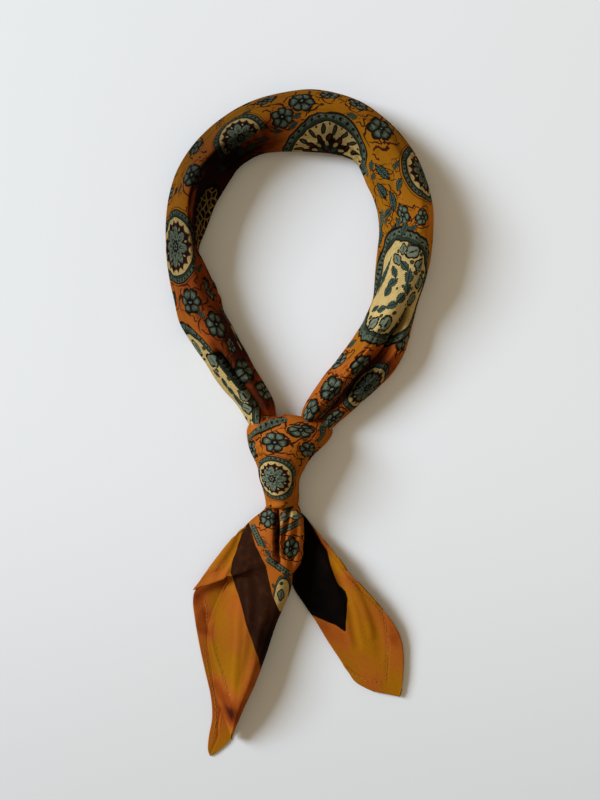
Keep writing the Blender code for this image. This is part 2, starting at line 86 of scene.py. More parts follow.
# A roll's row is one section from edge a to edge b. Its columns are a_x, a_y, b_x, b_y, crest (the
# share of the way at which it is highest), high, full_a and full_b (how round each flank is: 1 is a
# straight slope, 2 an ellipse).
LOOP_ROWS = (
    (-62.2, 67, -45.6, 66.6, 0.74, 17, 2, 1.7),
    (-62.5, 73, -47, 70.5, 0.8, 17.5, 2, 1.4),
    (-62.5, 82, -44, 79.5, 0.62, 19.5, 1.9, 1.2),
    (-61, 94, -40.5, 89, 0.5, 21.5, 1.8, 1.15),
    (-58, 104.5, -36.5, 96.5, 0.46, 22.5, 1.8, 1.15),
    (-53, 113.5, -32.5, 103, 0.48, 22.5, 1.8, 1.15),
    (-46, 122.5, -28.5, 108.5, 0.52, 22, 1.8, 1.2),
    (-38, 130, -23, 112.5, 0.56, 21.5, 1.9, 1.3),
    (-28, 136.5, -17.5, 115, 0.56, 21, 1.9, 1.5),
    (-16.5, 141, -11, 116, 0.5, 20.5, 2, 1.6),
    (-3.5, 143.8, -3.5, 116, 0.45, 20, 2, 1.7),
    (7.5, 144.5, 5, 115.5, 0.42, 20, 2, 1.7),
    (19, 142.5, 13.5, 115, 0.42, 20.5, 2, 1.7),
    (30, 138, 21.5, 113.5, 0.42, 21, 2, 1.7),
    (39, 131.5, 26.5, 111, 0.42, 21.5, 2, 1.7),
    (47.5, 123, 29, 106.5, 0.4, 22, 2.1, 1.7),
    (54.5, 113, 31.5, 100.5, 0.36, 22, 2.2, 1.7),
    (59, 102, 34.5, 94.5, 0.33, 22, 2.2, 1.7),
    (62, 90, 36.5, 87.5, 0.32, 22, 2.2, 1.7),
    (62.5, 79, 37, 79, 0.32, 21.5, 2.2, 1.7),
    (61.5, 67, 36, 69, 0.34, 21, 2.2, 1.7),
    (59, 56.5, 35, 58, 0.38, 20, 2.1, 1.8),
    (55.2, 49, 34, 49, 0.42, 19, 2, 1.8),
)
LEFT_LIMB_ROWS = (
    (-60.8, 56, -43, 61, 0.66, 17, 2, 1.8),
    (-58.6, 46, -40, 54, 0.58, 17, 2, 1.9),
    (-56.3, 36.6, -37, 47, 0.54, 17, 2, 2),
    (-52.5, 29.5, -34, 40.5, 0.54, 17, 2, 2),
    (-48.5, 23, -31, 35, 0.54, 17, 2, 2),
    (-44, 16.5, -28.2, 28.4, 0.54, 16.8, 2, 2),
    (-40, 10, -24.5, 22, 0.54, 16.5, 2, 2),
    (-35.5, 4, -21.5, 16, 0.54, 16, 2, 2),
    (-31, -1, -18, 10, 0.54, 15.5, 2, 2),
    (-27.8, -5.5, -14.5, 4, 0.54, 14.5, 2, 2),
    (-25.2, -9.8, -12, -1.5, 0.54, 13.5, 2, 2),
    (-22.4, -14.5, -11, -8, 0.54, 12, 2, 2),
    (-19, -19.5, -9.5, -14.5, 0.54, 10.5, 2, 2),  # tucked in under the knot
)
RIGHT_FRONT_ROWS = (
    (50, 42, 32, 43, 0.42, 18.5, 2.4, 1.8),
    (45, 35.5, 29.5, 36.5, 0.42, 18, 2.6, 1.8),
    (40.5, 29, 25.5, 30, 0.44, 17.5, 2.6, 1.8),
    (36, 22, 21, 23, 0.44, 17, 2.6, 1.8),
    (31, 17, 16.5, 17.5, 0.44, 16.5, 2.6, 1.8),
    (26.5, 12, 12, 12.5, 0.44, 16, 2.6, 1.8),
    (21, 5.5, 7.5, 6.5, 0.44, 15.5, 2.6, 1.8),
    (15.5, -1, 3.5, 0.5, 0.46, 15, 2.4, 1.9),
    (11.8, -5.3, 1, -4.5, 0.48, 14.5, 2.2, 2),
    (9.2, -8, 0.2, -7.7, 0.5, 13.5, 2, 2),
    (5.2, -13, -2.5, -12.7, 0.5, 12.5, 2, 2),
)
RIGHT_BACK_ROWS = (
    (60.3, 62, 53, 61, 0.5, 7, 2, 2),  # the first rows lie hidden in the loop
    (58.6, 55.5, 51.5, 54.5, 0.5, 8.5, 2, 2),
    (55.6, 46.8, 48, 46, 0.5, 10.5, 2, 2),
    (54.3, 42, 47, 41.7, 0.5, 11.5, 2, 2),
    (52.5, 34.5, 45.4, 35.2, 0.5, 12.5, 2, 1.8),
    (51, 28, 40.9, 28.7, 0.48, 13, 2, 1.6),
    (48.5, 21, 36.4, 21.7, 0.46, 13, 2, 1.5),
    (44, 13.5, 31.4, 16.7, 0.46, 13, 2, 1.5),
    (38.5, 7.5, 26.9, 11.7, 0.46, 12.5, 2, 1.5),
    (31.5, 1, 21.4, 5.2, 0.46, 12.5, 2, 1.6),
    (24, -5.5, 15.9, -1.3, 0.48, 12, 2, 1.8),
    (18.6, -10, 12.2, -5.6, 0.5, 11.5, 2, 2),
    (13.8, -14.3, 8.2, -10.7, 0.5, 11, 2, 2),
)
KNOT_ROWS = (
    (-18, -7.2, 9.2, -8.4, 0.48, 11, 2, 2),
    (-23.2, -10.6, 13.8, -11.4, 0.48, 16.5, 2.2, 2),
    (-24.8, -14, 15.4, -14.6, 0.48, 19, 2.2, 2),
    (-24.5, -18, 13.4, -18.9, 0.48, 20.5, 2.2, 2),
    (-23.4, -23, 10, -22.5, 0.48, 21.5, 2.2, 2),
    (-21.5, -27.5, 5.5, -27, 0.5, 21.5, 2.3, 2.3),
    (-20, -31.5, 2.5, -31.5, 0.52, 21, 2.5, 2.7),
    (-19, -36.5, 0, -36.5, 0.54, 20, 2.5, 2.8),
    (-17.5, -41, -0.5, -41, 0.54, 19, 2.4, 2.6),
    (-16.5, -45.5, -0.5, -45.5, 0.54, 18, 2, 2),
    (-16, -49, -0.8, -48.2, 0.54, 16.5, 2, 2),
    (-15.2, -50.6, -2.4, -49.8, 0.54, 13.5, 2, 2),
)

# A sheet's row runs from its left edge to its right edge. Its columns are left_x, left_y, right_x,
# right_y, left_high, crest, crest_high and right_high; the heights are of its upper face.
LEFT_FRONT_ROWS = (
    (-15.5, -47.5, -1.5, -47, 6, 0.58, 10, 7.5),  # tucked in under the knot
    (-17, -51, 0, -50.2, 7, 0.6, 12, 8.5),
    (-23, -56, 1.5, -54, 5, 0.64, 12.5, 9),
    (-29.5, -62.5, 2, -56.5, 4.4, 0.68, 12.8, 9.5),
    (-36.5, -71, 2, -59.5, 4.2, 0.73, 13, 9.5),
    (-43, -79, 2, -63, 4.2, 0.77, 13, 9),
    (-47.5, -85, 2, -65.5, 4.4, 0.79, 13, 8.5),
    (-50.4, -89.3, 1.5, -68, 4.4, 0.8, 13, 8.5),
    (-44, -85.5, 1.5, -73, 4.6, 0.8, 13, 8),
    (-38.5, -84, 0, -77, 4.8, 0.8, 13.2, 7.5),
    (-34, -83, -3, -81, 4.6, 0.81, 13.4, 7.2),
    (-36.5, -89, -3.5, -85.5, 4.2, 0.82, 13.6, 7),
    (-40, -96.5, -4.5, -90, 3.6, 0.82, 13.8, 7),
    (-43, -106, -7.5, -97, 3.3, 0.82, 14, 7),
    (-43.5, -113.5, -10.5, -104, 3.2, 0.82, 14, 7),
    (-42.5, -120, -13.5, -112.5, 3.2, 0.81, 14, 7),
    (-41.5, -126, -16, -120, 3.2, 0.8, 14, 7),
    (-40, -137, -20.5, -132, 3.2, 0.78, 13.8, 6.8),
    (-36.5, -146, -25.5, -142.5, 3.3, 0.74, 12.5, 6.4),
    (-34, -153, -28.5, -150, 3.4, 0.66, 10, 5.8),
    (-32.6, -158.4, -31.4, -157.8, 3.4, 0.5, 6, 4.8),
)
LEFT_UNDER_ROWS = tuple(edges + (1.05, 0.5, 1.1, 1.1) for edges in (
    (-19.5, -53.5, -9.5, -53), (-27.5, -62.5, -8.5, -61.5), (-40, -78, -7.8, -74),
    (-48.5, -88, -6.8, -84.5), (-50.5, -94, -8.5, -92), (-49.5, -103.5, -12, -101),
    (-47.5, -115, -16.5, -113), (-44.8, -127.5, -21, -125.5), (-42.2, -139, -25, -136.5),
    (-41.5, -149, -28, -146), (-43, -158, -31, -155), (-43.5, -164, -33.5, -160.5),
    (-42.6, -167.5, -39.5, -165.8),
))
RIGHT_TAIL_ROWS = (
    (-4, -52.5, 1.2, -53.2, 1.3, 0.7, 1.3, 1.3),
    (-2, -57, 4.4, -57, 1.3, 0.7, 1.3, 2.6),
    (-1.6, -62, 8.5, -62, 1.3, 0.75, 1.8, 5),
    (-1.5, -71.5, 16.5, -71.5, 1.3, 0.72, 4.2, 7.2),
    (-5, -80, 22.7, -80, 1.3, 0.74, 6, 7.5),
    (-3.2, -88, 30, -88, 1.3, 0.72, 5.4, 6.6),
    (2, -96, 37, -96, 1.6, 0.68, 4.9, 6.1),
    (7.5, -104, 43.5, -104, 1.8, 0.64, 3.8, 4.7),
    (12.5, -112.5, 47.5, -112.5, 1.8, 0.6, 2.8, 3.3),
    (18, -121, 48.6, -120.5, 1.7, 0.56, 2.4, 2.7),
    (22.5, -128, 48.5, -129, 1.6, 0.54, 2.2, 2.7),
    (26.5, -133, 48, -135, 1.5, 0.52, 1.9, 2.5),
    (35, -137, 46.8, -139.4, 1.5, 0.5, 1.6, 2.1),
)

# Creases are laid along points of the picture (px). Their columns are kind, deep, wide and
# points. A trough sinks by deep within wide of its line, a ridge has a negative deep, and a fold's
# right-hand side (looking along it) lies deep lower, coming up again over wide.
BAND_CREASES = (
    ("ridge", -1.2, 2.4, ((197, 250), (192, 226), (193, 205), (200, 180), (219, 160), (257, 137))),
    ("fold", 2.4, 6, ((222, 160), (230, 152), (244, 142), (258, 132), (272, 127))),
    ("trough", 2, 2.6, ((214, 186), (228, 172), (246, 157), (268, 147), (290, 141))),
    ("fold", 1.4, 4, ((198, 246), (206, 262), (218, 284), (230, 306), (242, 334), (250, 352))),
    ("trough", 1.4, 2.2, ((192, 256), (200, 272), (216, 294), (230, 316), (238, 334))),
    ("trough", 1.2, 3, ((186, 280), (194, 304), (208, 326))),
    ("ridge", -0.8, 2.2, ((200, 262), (212, 284), (226, 308))),
    ("trough", 10, 3.4, ((214, 351), (227, 365), (238, 377), (250, 392), (262, 410), (272, 424))),
    ("trough", 0.9, 2, ((238, 356), (250, 374), (264, 396))),
    ("trough", 0.9, 3.6, ((272, 108), (300, 104), (330, 102), (362, 112), (384, 128))),
    ("trough", 0.8, 2.4, ((284, 118), (310, 112), (340, 114), (366, 128))),
    ("fold", 1.4, 4, ((368, 186), (359, 162), (347, 150), (330, 143))),
    ("trough", 1, 3.2, ((392, 130), (408, 160), (416, 190))),
    ("trough", 1.3, 3, ((376, 150), (390, 172), (397, 205), (395, 232), (386, 262))),
    ("ridge", -0.9, 2.6, ((370, 160), (382, 190), (387, 230))),
    ("trough", 1.1, 2.6, ((420, 232), (424, 262), (414, 290), (400, 318))),
    ("trough", 1.1, 2.6, ((383, 240), (379, 280), (367, 306), (352, 330), (336, 352))),
    ("trough", 1.1, 2.2, ((374, 326), (356, 350), (336, 378), (318, 402))),
    ("ridge", -0.8, 2, ((356, 338), (338, 362), (322, 388), (310, 408))),
    ("fold", 1, 3, ((388, 318), (372, 344), (352, 368), (330, 394))),
    ("ridge", -1, 1.4, ((418, 296), (406, 311), (395, 325), (385, 339), (376, 352), (355, 372),
     (332, 400))),
)
STRAND_CREASES = (
    ("trough", 1.4, 2, ((404, 346), (392, 372), (366, 400), (340, 420))),
    ("trough", 0.9, 1.6, ((398, 340), (380, 366), (356, 392))),
)
KNOT_CREASES = (
    ("ridge", -1.5, 2, ((248, 441), (256, 432), (266, 424), (286, 417), (304, 416))),
    ("trough", 1.6, 2, ((250, 446), (262, 434), (280, 426), (302, 424), (320, 430))),
    ("fold", 1.3, 3, ((248, 452), (262, 447), (284, 443), (306, 447), (322, 455))),
    ("trough", 2.2, 2.2, ((244, 453), (256, 457), (268, 455))),
    ("trough", 1.6, 2.2, ((326, 436), (312, 456), (303, 474), (299, 492))),
    ("ridge", -0.9, 1.8, ((320, 434), (306, 450), (298, 470))),
    ("trough", 1.2, 2, ((258, 496), (270, 503), (286, 503), (300, 497))),
    ("trough", 1, 1.8, ((258, 462), (254, 478), (260, 494))),
    ("fold", 0.9, 2.6, ((300, 462), (296, 480), (286, 496), (272, 500))),
)
LEFT_FRONT_CREASES = (
    ("trough", 8, 1.8, ((275, 500), (276, 513), (277, 532), (277, 552), (279, 566))),
    ("trough", 3, 1.6, ((290, 502), (288, 520), (284, 540), (286, 560))),
    ("fold", 1.2, 6, ((222, 592), (226, 582), (229, 570), (233, 556))),
    ("trough", 1.2, 3, ((244, 528), (230, 558), (216, 576))),
    ("ridge", -0.7, 2.4, ((236, 534), (222, 556), (208, 572))),
    ("fold", -0.45, 2.2, ((196, 579), (207, 571), (215, 568), (226, 565))),
    ("fold", -0.45, 3, ((215, 620), (213, 636), (217, 655), (222, 672), (227, 688), (233, 704))),
    ("trough", 1.1, 3.5, ((250, 560), (256, 600), (250, 650), (240, 690))),
    ("ridge", -0.9, 3, ((240, 600), (238, 640), (234, 680), (232, 716))),
    ("trough", 1, 3, ((276, 596), (266, 630), (254, 664))),
    ("trough", 2, 2.4, ((296, 520), (295, 545), (288, 580))),
)
LEFT_UNDER_CREASES = (
    ("fold", 0.35, 1.6, ((204, 592), (206, 612), (209, 632), (214, 664), (218, 690))),
    ("fold", 0.45, 1.8, ((222, 710), (219, 724), (218, 738), (209, 757))),
)
RIGHT_TAIL_CREASES = (
    ("trough", 1.1, 3, ((322, 540), (338, 575), (350, 610), (358, 650))),
    ("ridge", -0.9, 3, ((345, 572), (362, 604), (374, 640))),
    ("trough", 0.4, 4, ((360, 600), (376, 628), (382, 660))),
    ("fold", 0.45, 1.8, ((312, 528), (326, 546), (346, 572), (367, 594), (384, 615), (389, 645),
     (387, 684))),
    ("fold", -0.4, 1.8, ((343, 664), (352, 671), (366, 678), (386, 684))),
)

# ----------------------------------------------------------------------------------- the print (px)

# Each motif is placed by the pixel under its middle. long and wide are its half sizes on the cloth
# in millimetres, and turn is the way its long side points in the picture, in degrees from the right.
Motif = namedtuple("Motif", "kind x y long wide turn")
MEDALLION, FIELD, SUNBURST, BAND, NET = 1, 2, 3, 4, 5
FLOWER, LEAF, SPOT, ROSETTE, BIT = 1, 2, 3, 4, 5
CURL, VINE = 1, 2
VINE_REACH = 1.9          # how far a flower's tendrils reach, against its own size
LARGE_MARGIN = 1.30       # how far out a motif is stamped, against its own size
SMALL_MARGIN = 1.32
VINE_MARGIN = 1.1


def motifs(kind, *rows, grown=1.0):
    """Motifs of one kind from rows of x, y, long, wide and turn."""
    return tuple(Motif(kind, x, y, grown * long, grown * wide, turn) for x, y, long, wide, turn in rows)


# The outline of the cloth that a fold hides of the first large motif.
FIRST_FOLD = (
    (205, 190), (222, 161), (228, 153.5), (244, 142.5), (261, 129.5), (272, 128), (272, 160), (240, 200),
)
LARGE_MOTIFS = (
    *motifs(
        MEDALLION,
        (240.5, 138, 13, 13, 20), (175, 246, 17.4, 12.6, 88), (423, 173, 14, 13.4, 100),
        (368, 388, 14, 11.4, 50), (271, 478.6, 13.4, 10.4, 0),
    ),
    *motifs(FIELD, (399, 290, 27.8, 17.5, 66), (217.5, 379.5, 33, 11.4, 131), (281.5, 595, 9.8, 4, 80)),
    *motifs(SUNBURST, (327, 156, 21.6, 23.2, 0)),
    *motifs(NET, (205, 219, 18, 9, 74)),
    *motifs(
        BAND,
        (233, 326, 11, 1.9, -63), (262.5, 426, 12.5, 1.9, 22), (322.5, 434, 4.6, 1.7, 80),
        (364, 168, 4.8, 1.5, -70), (381, 222, 6, 1.3, 82), (289, 527.5, 5.6, 1.5, 28),
        (279, 567, 7.2, 1.6, -36), (256.5, 535, 5.6, 1.5, -66),
    ),
)
PLANTS = (
    *motifs(
        FLOWER,
        (301, 101.6, 5.4, 5.2, 0), (283, 117, 4.8, 4.6, 40), (266, 100, 4.2, 3, 25),
        (329, 95, 4.2, 3.2, 0), (357.6, 104, 4.6, 3.4, -30), (381.5, 128.4, 5.9, 5.8, 60),
        (191, 175, 5, 4.6, 70), (196, 148, 4.6, 3.4, 55), (189.5, 301, 5.6, 4.8, -60),
        (208.5, 289, 5, 3, -65), (216.5, 323.5, 6.2, 4.4, -62), (232, 346, 3.8, 2.4, -70),
        (245.5, 370.5, 5.6, 5.4, -50), (264, 390, 5, 4, -50), (172, 300, 4.4, 3.2, 80),
        (338.4, 362, 5, 3.6, 60), (361.4, 364, 5.4, 5, 45), (331.5, 388.5, 5.6, 5.2, 40),
        (309, 410, 5.6, 4.4, 60), (404, 339, 5.4, 4.6, 60), (333.7, 419.4, 5.4, 4, 30),
        (421.7, 217.3, 3.6, 3, 60), (403, 214.5, 4.7, 3.2, -70), (300.4, 429, 6, 3.9, -4),
        (274.7, 442.3, 5.9, 4.3, -5), (307.8, 450, 4.4, 3.4, -10), (251, 449, 4, 3.4, 90),
        (268.5, 518, 4, 3.6, 80), (291, 548, 4.6, 3.2, 80),
    ),
    *motifs(
        LEAF,
        (263, 543, 2.4, 1.1, -70), (268, 553, 2.2, 1, -50), (381.8, 171.5, 4.4, 2.4, -50),
        (381, 190, 4.2, 2.6, -60), (373, 176, 2.4, 1.2, 60), (399, 224, 3, 1.3, -70),
        (413, 228, 2.6, 1.2, 30), (386, 222, 2.2, 1, 70), (388, 250, 3, 1.2, 70),
        (396, 165, 2.4, 1.1, 60), (352, 116, 2.6, 1.2, -20), (316, 118, 2.4, 1.1, 10),
        (296, 116, 2.2, 1.1, 30), (248, 112, 2.4, 1.1, 30), (220, 122, 2.6, 1.2, 45),
        (204, 166, 2.8, 1.3, 60), (180, 188, 2.6, 1.2, 70), (186, 326, 2.2, 1, -60),
        (201, 314, 2.6, 1.2, -50), (236, 336, 2.2, 1, -60), (249, 352, 2.2, 1, -60),
        (344, 388, 2.2, 1, 40), (324, 372, 2.4, 1.1, 50), (287, 462, 2.2, 1, 20), (318, 458, 2.4, 1, 50),
        (392.6, 201, 4.6, 1.8, -80), (393, 234, 4.8, 1.9, 75), (380, 239, 4.6, 1.6, 80),
        (384, 258, 3, 1.4, 70), (320, 470, 4, 1.3, 65), (226, 305, 3.4, 1.6, -60),
        (178, 222, 3, 1.4, 80),
    ),
)
CURLS = motifs(
    CURL,
    (382, 148, 4.4, 2.2, 10), (375, 157, 2, 1.1, -40), (361, 124, 2.6, 1.4, -20),
    (342, 100.5, 3.2, 1.5, -8), (317, 103.5, 3, 1.4, 10), (293, 128, 2.4, 1.2, 50),
    (269, 111, 3, 1.6, 10), (252, 105, 2.6, 1.2, 25), (208, 133, 1.6, 0.9, 45), (203, 151, 2.6, 1.2, 0),
    (174, 196, 3.6, 1.4, 70), (186, 208, 1.4, 0.9, -60), (184, 165, 1.6, 0.8, 60),
    (196, 278, 2.6, 1.2, -90), (194, 319, 3, 1.2, -40), (207, 327, 2.2, 1, -20), (222, 341, 2, 1, -50),
    (229, 356, 2, 1, -70), (256, 386, 2.4, 1.2, -60), (259, 402, 2.2, 1, -60), (379, 210, 2.2, 1, -60),
    (399, 196, 3, 1.2, 65), (411, 207, 2.2, 1.2, 30), (392, 220, 2, 1.2, -80), (386, 246, 2.6, 1, 55),
    (349, 352, 2.6, 1.2, 40), (344, 378, 3.2, 1.4, 30), (317, 395, 2.8, 1.2, 20),
    (322, 404, 2.2, 1.1, 0), (336, 371, 1.4, 1, 0), (397, 352, 2.8, 1.2, -60), (343, 413, 2.6, 1.3, 50),
    (272, 430, 2.4, 1.1, 60), (258, 439, 2.6, 1.1, 10), (290, 454, 3, 1.2, -30),
    (316, 441, 2.6, 1.2, -20), (301, 463, 2.4, 1.2, 60), (269, 507, 2.2, 1, 10), (285, 504, 2, 1, 20),
    (262, 521, 2.6, 0.9, 10), (303, 540, 2.2, 0.9, 90), (263, 530, 1.8, 0.9, -20),
)
# What is printed over the large motifs, and small pieces of print that a fold cuts off.
INLAYS = (
    *motifs(
        ROSETTE,
        (413, 252, 3.9, 3.3, 20), (404, 250, 2.6, 1.7, 80), (397.5, 260, 3, 2, -70),
        (420, 265, 3.2, 2.8, 60), (418.5, 281, 3.4, 2.4, 70), (411.5, 299, 3.4, 2, 60),
        (402, 313.5, 3.4, 2.2, 55), (387, 323, 3.8, 3.1, 60), (373, 324, 3.9, 3.3, 40),
        (198, 349, 4, 2.4, -60), (212, 360, 4, 3.4, -50), (244.5, 395.5, 3, 2.8, -50),
        (246.5, 409, 3.4, 3, -20), (281, 595, 2.8, 1.7, 85), (296, 516, 3.2, 1.7, 10),
        (284, 517, 3, 2.2, 20),
    ),
    *motifs(
        LEAF,
        (383.5, 277, 9, 1.1, 72), (394, 271, 3, 1.5, -75), (392.5, 282, 3.2, 1.9, 40),
        (388.5, 291, 2.7, 2, 60), (404.5, 265, 3.2, 1.8, -55), (408.5, 276, 3.3, 2, 80),
        (407.5, 287.5, 3.2, 1.8, 90), (401.5, 298, 3.2, 1.9, 50), (392, 305, 3.3, 1.8, 25),
        (381.5, 309.5, 3.2, 1.8, 15), (374.5, 308.5, 2.4, 1.2, 40), (216.5, 374, 2.7, 1.5, -45),
        (225, 383.5, 2.7, 1.5, -60), (231.5, 391.5, 2.7, 1.6, -40), (237.5, 400, 2.8, 2, -60),
        (241, 403, 2.6, 1.4, -60), (288, 509, 2.6, 1.4, 20), (322, 428, 2.6, 1.2, 50),
        (262, 139, 3.4, 1.3, 10), (276, 131, 3, 1.2, 5), (241, 153, 3.2, 1.6, -50),
        (223, 168, 3.2, 1.6, -40), (252, 147, 2.8, 1.4, 40), (292, 126, 2.8, 1.3, 30),
        (398, 184, 3.4, 1.7, 70), (388, 214, 3.2, 1.5, 60), (372, 166, 3, 1.4, 80),
        (405, 228, 3.2, 1.6, 70), (352, 344, 3, 1.5, 50), (232, 322, 3, 1.4, -60),
        (199, 268, 3, 1.4, 80), (246, 102, 2.6, 1.2, 30), (348, 97, 2.6, 1.1, -10),
    ),
    *motifs(
        SPOT,
        (408.5, 245.5, 0.8, 0.6, 60), (421.5, 254, 0.8, 0.8, 0), (411.5, 261.3, 0.8, 0.8, 0),
        (415.3, 273.4, 0.8, 0.8, 0), (423.2, 271.6, 0.7, 0.7, 0), (412.6, 289.4, 0.8, 0.8, 60),
        (405, 303.8, 0.8, 0.7, 40), (394.6, 312.3, 0.9, 0.7, 30), (381, 316.6, 0.9, 0.7, 40),
        (370, 317, 0.9, 0.6, 60), (363, 328, 0.9, 0.6, 50), (380, 330, 0.9, 0.8, 0),
        (395.3, 324.2, 0.8, 0.7, 30), (403, 286.3, 0.6, 0.6, 0), (396.6, 289, 0.5, 0.5, 0),
        (398.5, 250.8, 0.8, 0.5, 80), (204.3, 349, 0.9, 0.8, 0), (204.6, 359.5, 0.8, 0.5, 0),
        (216.5, 370, 1, 0.7, -40), (229.3, 379.8, 0.9, 0.7, -40), (239, 391.8, 0.9, 0.6, -30),
        (242, 402.6, 0.9, 0.6, -30), (255, 405.8, 0.9, 0.8, 0), (246.3, 418, 0.8, 0.6, 0),
        (193, 341, 0.7, 0.5, 0), (281.5, 583.5, 0.7, 0.7, 0), (273.5, 586, 0.9, 0.5, -60), grown=1.4,
    ),
    *motifs(
        BIT,
        (281, 523.5, 2.2, 1, 62), (293, 514, 3.2, 1.7, 25), (331, 428, 2.4, 0.8, 60),
        (264.5, 417.5, 2.6, 0.9, -15), (252.6, 423, 2, 1.1, -50), (234, 332, 5, 0.7, -62),
        (239, 345, 3.6, 0.6, -60),
    ),
)
VINES = tuple(
    Motif(VINE, m.x, m.y, VINE_REACH * m.long, VINE_REACH * max(m.wide, 0.6 * m.long), m.turn + 25)
    for m in PLANTS
)

# ------------------------------------------------------------------------------------ the tails (px)

STRIPE_LEFT_TAIL = (
    (249, 521), (242, 533), (233, 560), (230.7, 571), (237.4, 590), (243, 606), (247, 622), (254, 641),
    (259.4, 655), (261, 668), (260.5, 676), (275, 650), (290, 606), (281, 611), (272.5, 590),
    (266.5, 563), (256.5, 544), (250.8, 527),
)
PRINT_LEFT_TAIL = (
    (252, 500), (250.8, 527), (256.5, 544), (266.5, 563), (272.5, 590), (281, 611), (284, 613),
    (292, 600), (300, 575), (310, 545), (310, 505), (280, 498),
)
STRIPE_RIGHT_TAIL = (
    (286, 500), (300, 508), (313.7, 529), (322, 543), (327.7, 551), (329.6, 561), (334, 574),
    (338.6, 584), (345.6, 591.7), (347.8, 598), (347, 607), (345.6, 632), (336, 626), (323, 620.4),
    (313, 616), (300, 612), (285, 590), (284, 540),
)
SEAM_LEFT_FRONT = ((203, 574), (209, 570), (215, 568), (226, 565.5))
SEAM_LEFT_HEM = ((214, 622), (213, 636), (217, 655), (222, 672), (226, 685), (232, 702))
SEAM_LEFT_UNDER = (
    (204, 596), (206, 612), (209, 632), (214, 664), (220, 695), (222, 712), (218, 738), (211, 754),
)
SEAM_RIGHT_SIDE = (
    (312.5, 531), (327, 549), (348, 576), (366.5, 597), (384.5, 617), (388.5, 645), (387, 684),
)
SEAM_RIGHT_END = ((343, 664), (350.4, 670), (359.3, 675.5), (371.8, 679), (387, 684))
STITCH_LINES = {
    "left_tail_cloth": (
        ((204, 573), (209, 570.5), (215, 568.5), (226, 566)),
        ((213.5, 636), (217, 655), (222, 672), (226, 685), (232, 702)),
    ),
    "left_tail_underlayer": (
        ((205, 600), (207, 615), (209, 630)),
        ((204, 648), (209, 672), (215, 700), (216, 722), (212, 740)),
    ),
    "right_tail_cloth": (
        ((350, 580), (366, 596), (383, 616), (387, 633), (388, 646), (387, 664), (385, 682)),
        ((345, 666), (352, 673), (362, 679), (374, 682), (385, 686)),
    ),
}

# -------------------------------------------------------------------------------- soft spots (px)

# Each spot is x, y, amount and how wide it fades, in millimetres. The dye and shade spots turn mustard
# to rust: partly the dye's own unevenness, partly painted shade in folds, pockets and on faces turned
# from the light. The gold ones turn it to olive gold, and the dark spots are painted shade that
# darkens the cloth or, below 0, painted light that lightens it.
BAND_DYE_AND_SHADE_GLOWS = (
    (200, 185, 0.6, 9), (222, 158, 0.6, 9), (208, 300, 0.9, 12), (228, 330, 1.5, 13),
    (250, 380, 1.7, 15), (238, 354, 0.6, 10), (266, 400, 0.8, 8), (190, 292, 0.5, 12),
    (290, 130, 0.4, 10), (392, 372, 0.7, 12), (345, 375, 0.45, 18), (205, 270, 0.7, 10),
    (420, 225, 0.2, 8), (320, 400, 0.5, 14), (268, 411, 0.9, 6), (208, 226, 1.2, 6), (213, 204, 1.2, 6),
    (224, 184, 1.4, 7), (240, 168, 1.5, 7), (257, 152, 1.4, 7), (272, 141, 0.8, 6), (246, 340, 0.8, 6),
    (232, 312, 0.7, 6), (216, 268, 0.8, 6), (384, 356, 0.9, 6), (372, 368, 0.9, 6),
)
GOLD_GLOWS = (
    (185, 200, 1, 26), (176, 280, 0.8, 18), (250, 105, 0.7, 22), (320, 96, 0.4, 20),
)
TAIL_DYE_AND_SHADE_GLOWS = (
    (195, 598, 1.6, 5), (197, 626, 1.2, 5), (201, 655, 0.9, 5), (207, 690, 0.9, 6), (212, 712, 0.9, 6),
    (243, 600, 0.4, 7), (210, 577, 0.4, 6), (220, 682, 0.8, 4), (225, 694, 1.15, 4), (229, 707, 1.3, 4),
    (232, 719, 1.1, 4), (258, 662, 0.9, 5), (252, 680, 1, 5), (244, 698, 1, 5), (238, 712, 0.9, 5),
    (203, 592, 0.7, 4), (205, 614, 1.2, 4), (208, 634, 1, 4), (330, 634, 0.6, 8), (246, 610, 0.5, 9),
    (222, 577, 0.6, 6), (225, 545, 0.3, 8), (243, 622, 0.22, 12), (240, 640, 0.4, 6), (320, 545, 1.1, 6),
    (345, 640, 0.7, 5), (320, 628, 0.7, 6), (350, 577, 0.8, 6), (375, 683, 0.8, 6), (396, 638, 1.1, 6),
    (390, 618, 0.9, 6), (397, 662, 0.7, 5), (366, 610, 0.4, 8), (360, 660, 0.4, 7), (212, 735, 0.6, 6),
)
